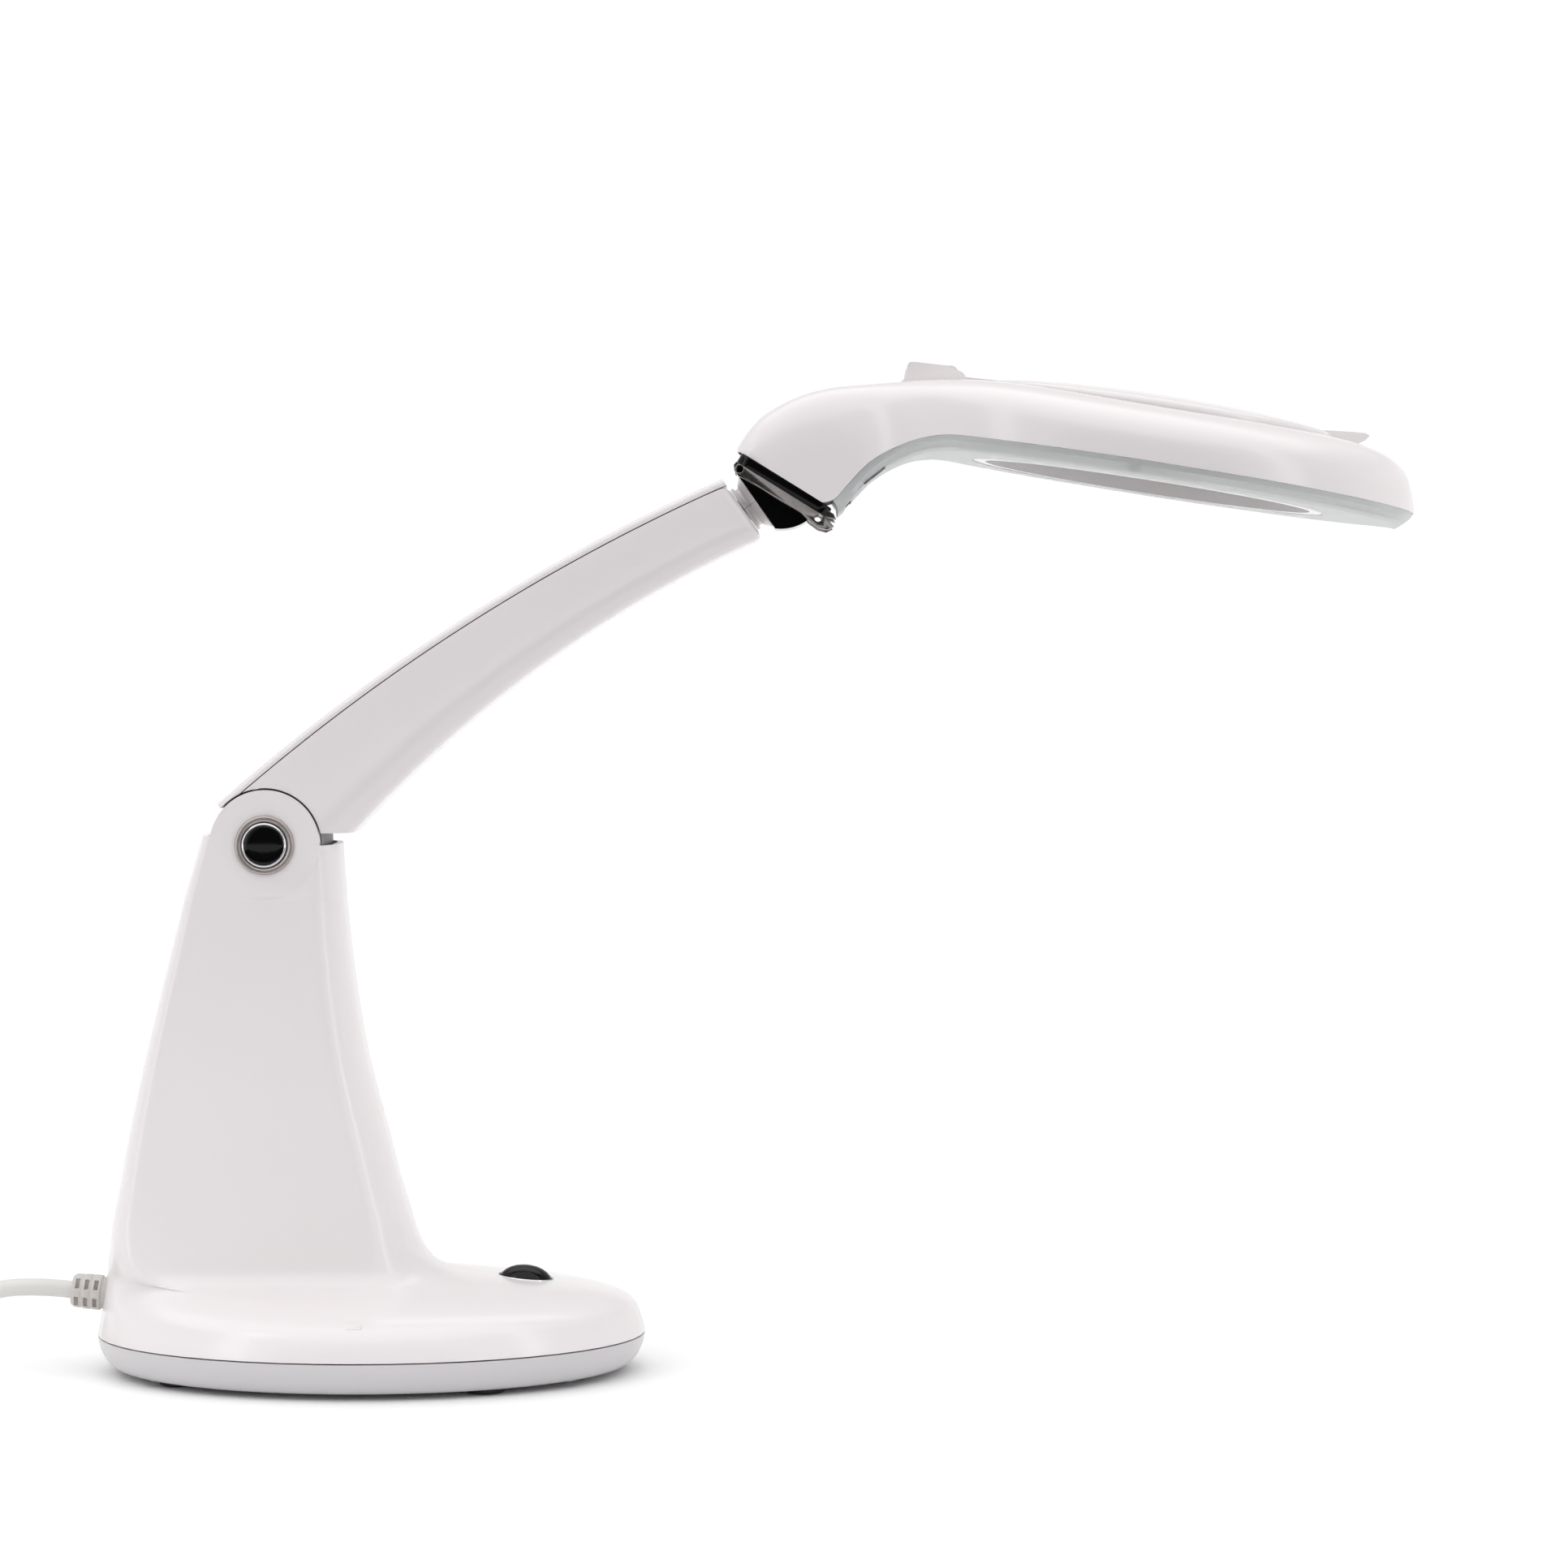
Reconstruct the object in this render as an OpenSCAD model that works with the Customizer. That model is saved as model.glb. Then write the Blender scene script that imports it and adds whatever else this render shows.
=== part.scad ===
// Desk magnifier lamp: weighted base with a column, one curved arm, and a lighted
// ring head with a lens under a flip-up cover. Millimetres, +Z up, arm towards +X.

/* [Base] */
// Length of the oval base
base_l = 188; // [180:1:200]
// Width of the oval base
base_w = 130; // [120:1:140]
// Height of the seam between the base shell and its bottom cover
seam_z = 13; // [11:1:15]
// Wall of the moulded shells
wall = 2.4; // [2:0.1:3]

/* [Column and arm] */
// Height of the arm pivot above the table
pivot_z = 181.5; // [178:0.5:185]
// Radius of the ears around the arm pivot
ear_r = 18.7; // [18:0.1:19.2]
// Half width of the column at its ears
ear_y = 21.5; // [20:0.5:23]
// Radius of the hinge bolt
bolt_r = 4; // [3:0.5:5]

/* [Head] */
// Length of the head from the ring's middle to its nose
nose_l = 84.4; // [80:0.1:88]
// Half width of the lighted ring
ring_y = 66; // [60:1:70]
// Nose-down slope of the ring in degrees
ring_tilt = 9; // [5:1:12]
// Radius of the tilt drum
drum_r = 15.7; // [14:0.1:16]

/* [Cord] */
// Diameter of the mains cord
cord_d = 6; // [5:0.5:7]

/* [Hidden] */
$fn = 64;
gap = 0.3;
pivot_x = -34.5;
drum = [140.9, 304.9];
neck_angle = 35;
end_angle = 31.9;
ring_centre = [274, 308.1];
nose_x = ring_centre[0] + nose_l;
// The part's origin is under the middle of its length, so the base sits back from it
base_x = -(nose_x - base_l / 2) / 2;
ear_wall = 3.5;
knuckle_y = ear_y - ear_wall - 1.2;
front_top_z = 181.3;
rear_top_z = 184.6;
button_x = 53;
button_tilt = 5.4;
button_z = 31.6;
relief_z = 26;
relief_rise = 5.5;
lens_u = -6;
lens_a = 58;
lens_b = 44;
hinge_x = 199;
hinge_z = 342.6;
coil_centre = [-230, 33];
coil_r = 30;

function ellipse(a, b, n = 48) = [for (i = [0:n - 1]) [a * cos(360 * i / n), b * sin(360 * i / n)]];
function arc(cx, cy, r, from, to, n = 12) =
    [for (i = [0:n]) let (t = from + (to - from) * i / n) [cx + r * cos(t), cy + r * sin(t)]];

// A closed solid through rings of equal point count, all wound the same way
module loft(rings) {
    n = len(rings[0]);
    last = len(rings) - 1;
    polyhedron(
        points = [for (ring = rings) for (p = ring) p],
        faces = concat(
            [[for (i = [0:n - 1]) i]],
            [for (k = [0:last - 1]) for (i = [0:n - 1])
                [k * n + i, (k + 1) * n + i, (k + 1) * n + (i + 1) % n, k * n + (i + 1) % n]],
            [[for (i = [n - 1:-1:0]) last * n + i]]),
        convexity = 8);
}
// A stack of ellipses, each level being [z, half length, half width]
module stack(levels, n = 48) {
    loft([for (l = levels) [for (p = ellipse(l[1], l[2], n)) [p[0], p[1], l[0]]]]);
}
// A side-view outline in X and Z, given a width across Y
module side_plate(outline, width) {
    rotate([90, 0, 0]) linear_extrude(width, center = true) polygon(outline);
}
module cross_pin(r, width) { rotate([90, 0, 0]) cylinder(r = r, h = width, center = true); }
module mirrored() { children(); mirror([0, 1, 0]) children(); }
module placed() { translate([base_x, 0, 0]) children(); }
module at_pivot() { placed() translate([pivot_x, 0, pivot_z]) children(); }
module at_drum() { placed() translate([drum[0], 0, drum[1]]) children(); }
// Along the neck: the local +Z runs from the arm towards the drum's axis
module along_neck() { at_drum() rotate([0, 90 - neck_angle, 0]) children(); }
// On the head's end plane: local X runs down to the right, local Z out of the plane
module on_end() { at_drum() rotate([0, end_angle, 0]) translate([0, 0, 1.57]) children(); }
// On the ring's seam plane
module on_ring() {
    placed() translate([ring_centre[0], 0, ring_centre[1]]) rotate([0, ring_tilt, 0]) children();
}

// ---- base ----
half_l = base_l / 2;
half_w = base_w / 2;
base_levels = [[0, 0, 0], [5.4, 1.3, 1.1], [9.5, 3, 2.8], [12.5, 7, 6.5], [15, 15, 14], [17.2, 28, 25],
    [19.2, 46, 37], [20.6, 69, 51], [21, 86, 60]];
// Column sections: height, rear x, front x, half width, depths of the rounded front and of the rounded rear
column_levels = [[14, -92.6, 30, 33, 26, 26], [28, -91.4, 29, 33, 26, 22], [32, -91.2, 25, 30.5, 24, 19],
    [41, -90.2, 18, 27.5, 19, 13], [53, -88, 13.8, 26, 17.5, 10], [80, -83, 6, 25, 15, 8.4],
    [108, -77, -1.4, 24, 13, 7], [136, -70.2, -6.1, 23, 11.8, 6], [164, -63.2, -9.2, ear_y, 10.6, 5],
    [rear_top_z, -57.1, -10.8, ear_y, 8.6, 4.4]];
module base_outer(inset = 0) {
    stack([for (l = base_levels) let (drop = l[0] > 0 ? inset : (inset > 0 ? 1 : 0))
        [seam_z + l[0] - drop, half_l - l[1] - inset, half_w - l[2] - inset]]);
}
module column_solid(inset = 0, side = 0) {
    loft([for (l = column_levels) let (
            w = l[3] - inset - side, f = l[4] - inset * 0.7,
            front = l[2] - inset, rear = l[1] + inset, r = l[5] - inset * 0.7)
        concat(
            [for (i = [0:12]) let (t = -90 + 15 * i) [front - f + f * cos(t), w * sin(t), l[0]]],
            [for (i = [0:12]) let (t = 90 + 15 * i) [rear + r + r * cos(t), w * sin(t), l[0]]])]);
}
boss_places = [for (t = [35, 145, 215, 325]) [84 * cos(t), 55.5 * sin(t)]];
module in_button_frame() {
    placed() translate([button_x, 0, button_z]) rotate([0, button_tilt, 0]) children();
}
module along_relief() {
    placed() translate([-half_l + 2, 0, relief_z]) rotate([0, -90 + relief_rise, 0]) children();
}

module base_shell() {
    color("white") difference() {
        union() {
            placed() base_outer();
            placed() difference() {
                column_solid();
                translate([-40, -40, front_top_z]) cube([60, 80, 10]);
            }
            at_pivot() mirrored() translate([0, ear_y, 0]) rotate([90, 0, 0])
                cylinder(r = ear_r, h = ear_wall);
        }
        placed() difference() {
            base_outer(wall);
            for (p = boss_places) translate([p[0], p[1], 8]) cylinder(r = 3.4, h = 30, $fn = 24);
        }
        placed() intersection() {
            column_solid(wall, 0.2);
            translate([-120, -60, 20]) cube([160, 120, 138]);
        }
        // open slot between the ears
        placed() translate([-54.2, -ear_y + ear_wall, 150]) cube([39.6, 2 * (ear_y - ear_wall), 60]);
        at_pivot() {
            cross_pin(bolt_r, 60);
            mirrored() translate([0, ear_y + 1, 0]) rotate([90, 0, 0]) cylinder(r = 6.7, h = 3.4);
        }
        in_button_frame() translate([0, 0, -12])
            linear_extrude(24) polygon(ellipse(9.1 + gap, 6.9 + gap, 32));
        along_relief() translate([0, 0, -8]) cylinder(r = 5.5, h = 40);
        placed() for (p = boss_places) translate([p[0], p[1], 0]) cylinder(r = 1.5, h = 17, $fn = 24);
    }
    color("white") placed() for (p = boss_places) translate([p[0], p[1], 8.1]) difference() {
        cylinder(r = 3.4, h = 12.9, $fn = 24);
        translate([0, 0, -1]) cylinder(r = 1.5, h = 9.6, $fn = 24);
    }
}
module bottom_cover() {
    color("white") placed() difference() {
        union() {
            difference() {
                stack([[1.5, 85, 58], [2.4, 88.5, 60.5], [5, 91.2, 62.8], [9, 93.3, 64.5],
                    [seam_z - 0.1, half_l, half_w]]);
                stack([[3.9, 85, 58], [6, 88.6, 60.2], [9, 90.6, 61.8], [seam_z + 1, 91.6, 62.6]]);
            }
            for (p = boss_places) translate([p[0], p[1], 3]) cylinder(r = 3.4, h = 5, $fn = 24);
        }
        for (p = boss_places) translate([p[0], p[1], 0]) {
            cylinder(r = 1.6, h = 20, $fn = 24);
            cylinder(r = 3, h = 3.4, $fn = 24);
        }
    }
}
module ballast_plate() {
    color("dimgray") placed() translate([0, 0, 4]) linear_extrude(10) polygon(ellipse(74, 47, 48));
}
module rubber_feet() {
    color("#222222") placed() for (p = [[42, 42], [42, -42], [-62, 29], [-62, -29], [72, 0]])
        translate([p[0], p[1], 0]) cylinder(r = 7, h = 1.5);
}
module cover_screws() {
    color("silver") placed() for (p = boss_places) translate([p[0], p[1], 1.8]) {
        difference() {
            cylinder(r = 2.8, h = 1.6, $fn = 24);
            translate([0, 0, -0.1]) cylinder(r = 1.1, h = 1, $fn = 24);
        }
        cylinder(r = 1.5, h = 14.5, $fn = 24);
    }
}
module power_button() {
    color("#101010") in_button_frame() {
        stack([[-2, 9.1, 6.9], [0, 9.1, 6.9], [1.6, 8.2, 6.2], [3, 6.4, 4.8], [3.9, 3.8, 2.9],
            [4.2, 1, 0.8]], 32);
        translate([0, 0, -3.6]) cylinder(r = 2.5, h = 2);
    }
}
module switch_body() {
    color("#303030") in_button_frame() difference() {
        translate([-7, -5, -15]) cube([14, 10, 9.6]);
        translate([0, 0, -7.6]) cylinder(r = 1.6, h = 4);
    }
}
module driver_board() {
    color("darkgreen") placed() translate([-38, 0, 16]) {
        translate([-24, -22, 0]) cube([48, 44, 1.6]);
        for (x = [-20, 20], y = [-18, 18]) translate([x, y, -2]) cylinder(r = 2, h = 2.2, $fn = 24);
        translate([-12, -8, 1.5]) cube([16, 14, 9]);
        translate([12, 8, 1.5]) cylinder(r = 5, h = 10);
        translate([12, -10, 1.5]) cube([8, 10, 5]);
    }
}
module strain_relief() {
    color("lightgray") along_relief() difference() {
        union() {
            translate([0, 0, -6]) cylinder(r = 5.5, h = 8.4);
            translate([0, 0, -7.5]) cylinder(r = 7, h = 2);
            translate([0, 0, 2.4]) cylinder(r1 = 5.4, r2 = 4.9, h = 11.6);
        }
        translate([0, 0, 12]) cylinder(r = cord_d / 2, h = 4);
        for (z = [4.4, 7.6, 10.8]) for (a = [0, 180]) rotate([0, 0, a])
            translate([3.2, -6, z]) cube([4, 12, 1.3]);
    }
}
module column_wiring() {
    run = [[-30, 0, 28], [-40, 0, 60], [-42, 0, 100], [-40, 0, 140], [-38, 0, 158]];
    color("#cc3333") placed() loft([for (p = run)
        [for (q = ellipse(2, 2, 8)) [p[0] + q[0], p[1] + q[1], p[2]]]]);
}

// ---- arm pivot ----
module hinge_bolt() {
    color("silver") at_pivot() {
        translate([0, ear_y - 2.4, 0]) rotate([90, 0, 0]) cylinder(r = bolt_r, h = 2 * ear_y - 2.8);
        translate([0, -ear_y + 2.4, 0]) rotate([90, 0, 0]) cylinder(r = 6.4, h = 2.3);
    }
}
module hinge_nut() {
    color("silver") at_pivot() translate([0, ear_y - 0.1, 0]) rotate([90, 0, 0])
        cylinder(r = 6.4, h = 2.3, $fn = 6);
}
module friction_washers() {
    color("goldenrod") at_pivot() mirrored() translate([0, knuckle_y + 1.1, 0]) rotate([90, 0, 0])
        difference() {
            cylinder(r = 12, h = 1);
            translate([0, 0, -1]) cylinder(r = bolt_r, h = 4);
        }
}
module pivot_rings() {
    color("silver") at_pivot() mirrored() translate([0, ear_y + 1.2, 0]) rotate([90, 0, 0]) difference() {
        cylinder(r1 = 9.6, r2 = 10.1, h = 1.2);
        translate([0, 0, -1]) cylinder(r = 7.75, h = 4);
    }
}
module pivot_cap() {
    rotate([90, 0, 0]) rotate_extrude()
        polygon([[0, 0], [7.7, 0], [7.7, -1.3], [7.1, -1.8], [4, -2.3], [0, -2.5]]);
}
module pivot_cap_left() {
    color("#181818") at_pivot() translate([0, -ear_y, 0]) mirror([0, 1, 0]) pivot_cap();
}
module pivot_cap_right() { color("#181818") at_pivot() translate([0, ear_y, 0]) pivot_cap(); }

// ---- arm ----
arm_top = [392, -302.9, 666.7];
arm_bottom = [304.8, -96.7, 419];
arm_steps = 14;
function on_arc(c, t, inset) = [c[0] + (c[2] + inset) * cos(t), c[1] + (c[2] + inset) * sin(t)];
// One cross-section of the arm: k runs from 0 at the ears to 1 at the neck
function arm_section(k, inset, top_inset) = let (
        top = on_arc(arm_top, 132 - 18.2 * k, -top_inset),
        low = on_arc(arm_bottom, 139.5 - 25.4 * k, inset),
        w = ear_y - 4.5 * k - inset)
    [for (q = [[-1, 0], [-1, 0.62], [-0.95, 0.8], [-0.82, 0.92], [-0.6, 1], [0.6, 1], [0.82, 0.92],
            [0.95, 0.8], [1, 0.62], [1, 0]])
        [top[0] + (low[0] - top[0]) * q[1], w * q[0], top[1] + (low[1] - top[1]) * q[1]]];
module arm_body(inset, top_inset, from = 0, to = 1) {
    loft([for (i = [0:arm_steps]) arm_section(from + (to - from) * i / arm_steps, inset, top_inset)]);
}
module ear_clearance() { at_pivot() cross_pin(ear_r + 0.65, 60); }
module below_arm() { placed() translate([-80, -30, 120]) cube([100, 60, 65.4]); }
module beyond_arm() { along_neck() translate([-40, -40, -15.7]) cube(80); }
cover_depth = 2.7;
tongue_angle = 42;
module along_tongue() { at_pivot() rotate([0, -tongue_angle, 0]) children(); }
module arm_shell() {
    color("white") difference() {
        union() {
            difference() {
                placed() arm_body(0, cover_depth, 0.02);
                placed() arm_body(wall, cover_depth - 2, -0.05, 0.93);
            }
            intersection() {
                along_tongue() for (u = [34, 50]) translate([u, 0, -28])
                    cylinder(r = 3.5, h = 19.5, $fn = 24);
                placed() arm_body(1, cover_depth);
            }
        }
        ear_clearance();
        below_arm();
        beyond_arm();
        along_neck() translate([0, 0, -40]) cylinder(r = 4.4, h = 40);
        along_neck() translate([0, 0, -28.2]) cylinder(r = 7, h = 10.1);
        along_neck() translate([0, 0, -50]) cylinder(r = 6.6, h = 21.9);
        along_tongue() for (u = [34, 50]) translate([u, 0, -14]) cylinder(r = 1.5, h = 10, $fn = 24);
    }
}
module arm_cover() {
    color("white") difference() {
        placed() loft([for (i = [0:arm_steps]) let (
                k = i / arm_steps,
                top = on_arc(arm_top, 132 - 18.2 * k, 0),
                low = on_arc(arm_top, 132 - 18.2 * k, -cover_depth + 0.1),
                w = ear_y - 4.5 * k)
            [for (q = [[-1, 1], [1, 1], [1, 0.45], [0.93, 0.1], [0.8, 0], [-0.8, 0], [-0.93, 0.1],
                    [-1, 0.45]])
                [top[0] + (low[0] - top[0]) * q[1], w * q[0], top[1] + (low[1] - top[1]) * q[1]]]]);
        ear_clearance();
        beyond_arm();
    }
}
module arm_knuckle() {
    color("gray") difference() {
        union() {
            at_pivot() cross_pin(ear_r + 0.4, 2 * knuckle_y);
            along_tongue() translate([8, -12, -7]) cube([50, 24, 15]);
        }
        at_pivot() cross_pin(bolt_r + 0.05, 60);
        along_tongue() translate([24, -8, -4]) cube([40, 16, 20]);
        along_tongue() for (u = [34, 50]) translate([u, 0, -20]) cylinder(r = 1.6, h = 30, $fn = 24);
    }
}
module arm_screws() {
    color("silver") along_tongue() for (u = [34, 50]) translate([u, 0, -12.9]) {
        cylinder(r = 1.5, h = 9, $fn = 24);
        translate([0, 0, 8.9]) cylinder(r = 2.8, h = 1.8, $fn = 24);
    }
}
module arm_wiring() {
    color("#cc3333") placed() loft([for (i = [0:8]) let (
            k = 0.42 + 0.4 * i / 8,
            top = on_arc(arm_top, 132 - 18.2 * k, -12))
        [for (q = ellipse(1.8, 1.8, 8)) [top[0] + q[0] * 0.6, q[1], top[1] - q[0] * 0.8]]]);
}
module swivel_bush() {
    color("goldenrod") along_neck() translate([0, 0, -28.1]) difference() {
        cylinder(r = 7, h = 10);
        translate([0, 0, -1]) cylinder(r = 4.05, h = 12);
    }
}

// ---- neck ----
module neck_body() {
    difference() {
        rotate_extrude() polygon([[0, -15.3], [8.4, -15.3], [8.4, -14.4], [7.4, -14.2], [7.4, -13],
            [8.4, -12.4], [10.2, -10.7], [10.2, -10.5], [0, -10.5]]);
        cylinder(r = 4, h = 60, center = true);
    }
}
module neck_upper() {
    color("white") along_neck() intersection() {
        neck_body();
        translate([-40.05, -20, -20]) cube([40, 40, 20]);
    }
}
module neck_lower() {
    color("white") along_neck() intersection() {
        neck_body();
        translate([0.05, -20, -20]) cube([40, 40, 20]);
    }
}
module swivel_tube() {
    color("silver") along_neck() translate([0, 0, -32.4]) difference() {
        cylinder(r = 4, h = 26.4);
        translate([0, 0, -1]) cylinder(r = 2.6, h = 30);
    }
}
module swivel_nut() {
    color("silver") along_neck() translate([0, 0, -32]) difference() {
        cylinder(r = 6.2, h = 3.6, $fn = 6);
        translate([0, 0, -1]) cylinder(r = 4, h = 6);
    }
}
drum_y = 12.6;
module tilt_drum() {
    color("#101010") difference() {
        at_drum() cross_pin(drum_r, 2 * drum_y);
        along_neck() translate([-30, -30, -40.5]) cube([60, 60, 30]);
        along_neck() translate([0, 0, -20]) cylinder(r = 4, h = 14);
        at_drum() cross_pin(3, 40);
    }
}

// ---- head ----
trim_y = 20;
cheek_y = drum_y + 1;
module end_trim() {
    color("#141414") difference() {
        union() {
            on_end() translate([1.5, 0, -3.6]) linear_extrude(3.6)
                offset(r = 3, $fn = 32) square([36, 2 * trim_y - 6], center = true);
            on_end() mirrored() translate([0, cheek_y + 2.2, 0]) rotate([90, 0, 0])
                linear_extrude(4.4, center = true)
                    polygon([[-17, -1], [-17, -3.6], [-8, -6], [0, -6.6], [8, -6], [19, -3.6], [19, -1]]);
            on_end() mirrored() translate([-6, cheek_y, -1]) cube([12, 3.6, 6]);
        }
        on_end() translate([-16.3, -cheek_y, -20]) cube([32.6, 2 * cheek_y, 40]);
        at_drum() cross_pin(3, 2 * cheek_y + 6.6);
    }
}
module tilt_pin() { color("silver") at_drum() cross_pin(2.95, 2 * cheek_y + 6.4); }
module tilt_washers() {
    color("goldenrod") at_drum() mirrored() translate([0, cheek_y - 0.05, 0]) rotate([90, 0, 0])
        difference() {
            cylinder(r = 4.8, h = 0.9);
            translate([0, 0, -1]) cylinder(r = 3.1, h = 3);
        }
}
// Head stations: x, half width, seam z, crown z
head_stations = [[126, 19, 296, 317.5], [129, 19.6, 296, 322], [133.3, 20, 296.2, 327],
    [138, 20.2, 296.6, 330.3], [144, 20.4, 297, 333.6], [151, 20.7, 297.6, 336.2],
    [158.5, 21, 298.8, 337.9], [163, 21.4, 303.4, 338.4],
    [170.6, 23, 311.3, 339], [179, 26.6, 316.2, 339.5], [188, 33, 319.2, 340], [197, 41, 320, 340],
    [208, 49.5, 318.5, 339.6], [222, 57, 316.3, 338], [238, 62.6, 313.8, 335.4], [256, 65.5, 311, 332.4],
    [274, ring_y, 308.1, 329.5], [292, 64, 305.3, 326.6], [308, 59.5, 302.8, 323.9], [322, 53, 300.5, 321.4],
    [334, 44.5, 298.6, 319], [344, 34, 297, 316], [351, 23.5, 295.9, 312.3], [355.6, 14, 295.2, 307.6],
    [nose_x, 5, 294.7, 299.5]];
// One slice of the head's upper half, flat on its seam
function head_slice(s, inset, drop) = let (b = max(s[1] - inset, 1), h = max(s[3] - s[2] - inset, 1))
    concat(
        [for (i = [0:12]) let (t = 15 * i, c = cos(t), q = sin(t))
            [s[0], b * sign(c) * pow(abs(c), 0.45), s[2] + 0.001 + h * pow(max(q, 0), 0.62)]],
        [[s[0], -b, s[2] - drop], [s[0], b, s[2] - drop]]);
module head_upper(inset, drop) { loft([for (s = head_stations) head_slice(s, inset, drop)]); }
module head_inner() {
    loft([for (i = [0:len(head_stations) - 1]) let (s = head_stations[i], x = s[0])
        head_slice([x + (i == len(head_stations) - 1 ? -3 : (i == 0 ? -2 : 0)), s[1], s[2], s[3]], 2.4, 3)]);
}
module before_end() { on_end() translate([-60, -60, -80]) cube([120, 120, 80]); }
module lens_hole(a, b, from, to) {
    on_ring() translate([lens_u, 0, from]) linear_extrude(to - from) polygon(ellipse(a, b, 48));
}
screw_places = [for (u = [-42, 36], v = [-52, 52]) [u, v]];
lug_outline = [[180, 337.5], [183.6, 341], [184.4, 346.1], [198, 344.9], [203, 342.6], [206.5, 338]];
module hinge_at() { placed() translate([hinge_x, 0, hinge_z]) children(); }
module head_shell() {
    color("white") difference() {
        union() {
            difference() {
                placed() head_upper(0, 0);
                placed() head_inner();
            }
            intersection() {
                placed() head_upper(0.5, 0);
                on_ring() for (p = screw_places) translate([p[0], p[1], 0.2])
                    cylinder(r = 3.2, h = 30, $fn = 24);
            }
            placed() mirrored() translate([0, 12.4, 0]) side_plate(lug_outline, 4);
        }
        before_end();
        lens_hole(lens_a + 3, lens_b + 3, -20, 40);
        hinge_at() cross_pin(1.2, 27.4);
        on_ring() for (p = screw_places) translate([p[0], p[1], -2]) cylinder(r = 1.3, h = 11, $fn = 24);
        placed() hull() {
            translate([hinge_x, 0, hinge_z]) cross_pin(3.4, 20.8);
            translate([hinge_x + 12, 0, hinge_z]) cross_pin(3.4, 20.8);
        }
    }
}
diffuser_depth = 5.2;
function diffuser_slice(s, k, inset) = let (
        b = max(s[1] - inset, 1), d = diffuser_depth - inset * 0.8,
        top = s[2] - 0.1 + (inset > 0 ? 2 : 0), side = b - (inset > 0 ? 1 : 1.5),
        flat = max(b - 13, b * 0.35))
    [[s[0], b, top], [s[0], -b, top], [s[0] + k, -side, s[2] - d * 0.5], [s[0] + 2 * k, -flat, s[2] - d],
     [s[0] + 2 * k, flat, s[2] - d], [s[0] + k, side, s[2] - d * 0.5]];
diffuser_from = 6;
function diffuser_lean(x) = x < 175 ? 1.8 : (x < 186 ? 1 : (x > 350 ? -1 : 0));
module diffuser() {
    last = len(head_stations) - 1;
    color("lightcyan", 0.6) difference() {
        placed() difference() {
            loft([for (i = [diffuser_from:last]) let (s = head_stations[i])
                diffuser_slice(s, diffuser_lean(s[0]), 0)]);
            loft([for (i = [diffuser_from:last]) let (s = head_stations[i])
                diffuser_slice([s[0] + (i == diffuser_from ? 2.4 : (i == last ? -3 : 0)), s[1], s[2], s[3]],
                    diffuser_lean(s[0]), 2.2)]);
        }
        lens_hole(lens_a + 3, lens_b + 3, -20, 40);
        on_ring() for (p = screw_places) translate([p[0], p[1], -10]) cylinder(r = 1.4, h = 20, $fn = 24);
    }
}
module ring_plate(a, b, from, to) {
    difference() {
        lens_hole(a, b, from, to);
        lens_hole(lens_a + 3.4, lens_b + 3.4, from - 1, to + 1);
        on_ring() for (p = screw_places) translate([p[0], p[1], from - 1])
            cylinder(r = 3.6, h = to - from + 2, $fn = 24);
    }
}
led_places = [for (i = [0:23]) let (t = 15 * i + 7.5) [lens_u + 65.5 * cos(t), 51.5 * sin(t)]];
module led_board() { color("darkgreen") ring_plate(70, 56.5, 6, 7.6); }
module leds() {
    color("lightyellow") on_ring() for (p = led_places) translate([p[0], p[1], 4.6])
        cylinder(r = 1.8, h = 1.4, $fn = 16);
}
module reflector_tray() {
    color("white") difference() {
        ring_plate(70.5, 57, 3.6, 4.4);
        on_ring() for (p = led_places) translate([p[0], p[1], 3]) cylinder(r = 2.2, h = 3, $fn = 16);
    }
}
module lens() {
    color("azure", 0.4) on_ring() translate([lens_u, 0, 8]) stack([[-5, 6, 4], [-4.6, 22, 16], [-3.4, 40, 30],
        [-1.5, lens_a, lens_b], [1.5, lens_a, lens_b], [3.4, 40, 30], [4.6, 22, 16], [5, 6, 4]]);
}
module lens_ring() {
    color("white") difference() {
        lens_hole(lens_a + 2.8, lens_b + 2.8, -5, 17);
        lens_hole(lens_a - 1.5, lens_b - 1.5, -6, 30);
        lens_hole(lens_a + 0.1, lens_b + 0.1, 6.4, 30);
    }
}
module head_screws() {
    color("silver") on_ring() for (p = screw_places) translate([p[0], p[1], -2.5])
        cylinder(r = 1.3, h = 10, $fn = 24);
}
module cover_pin() { color("silver") hinge_at() cross_pin(1.2, 27.2); }
cover_dome = [[19.4, 60.5, 46.5], [21.6, 60.2, 46.2], [22.8, 57.6, 43.8], [24.2, 50, 37], [25.3, 37, 27],
    [25.9, 18, 14]];
cover_hollow = [[19, 58.4, 44.4], [20.8, 57.6, 43.6], [22.2, 50, 37], [23.4, 36, 26.5], [24, 16, 12]];
lift_tab = [[325, 322.4], [341, 322.1], [342.8, 321.2], [338.5, 318.4], [334, 319.4], [325, 321.1]];
hinge_leaf = [[198.5, 339.9], [207, 339.9], [217, 340.2], [217, 341.2], [206, 343], [199, 345.2]];
module lens_cover() {
    color("white") difference() {
        union() {
            on_ring() translate([lens_u, 0, 0]) stack(cover_dome);
            placed() side_plate(lift_tab, 18);
            hinge_at() cross_pin(2.7, 19.6);
            placed() side_plate(hinge_leaf, 19.6);
        }
        hinge_at() cross_pin(1.25, 40);
        on_ring() translate([lens_u, 0, 0]) stack(cover_hollow);
    }
}

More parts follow.
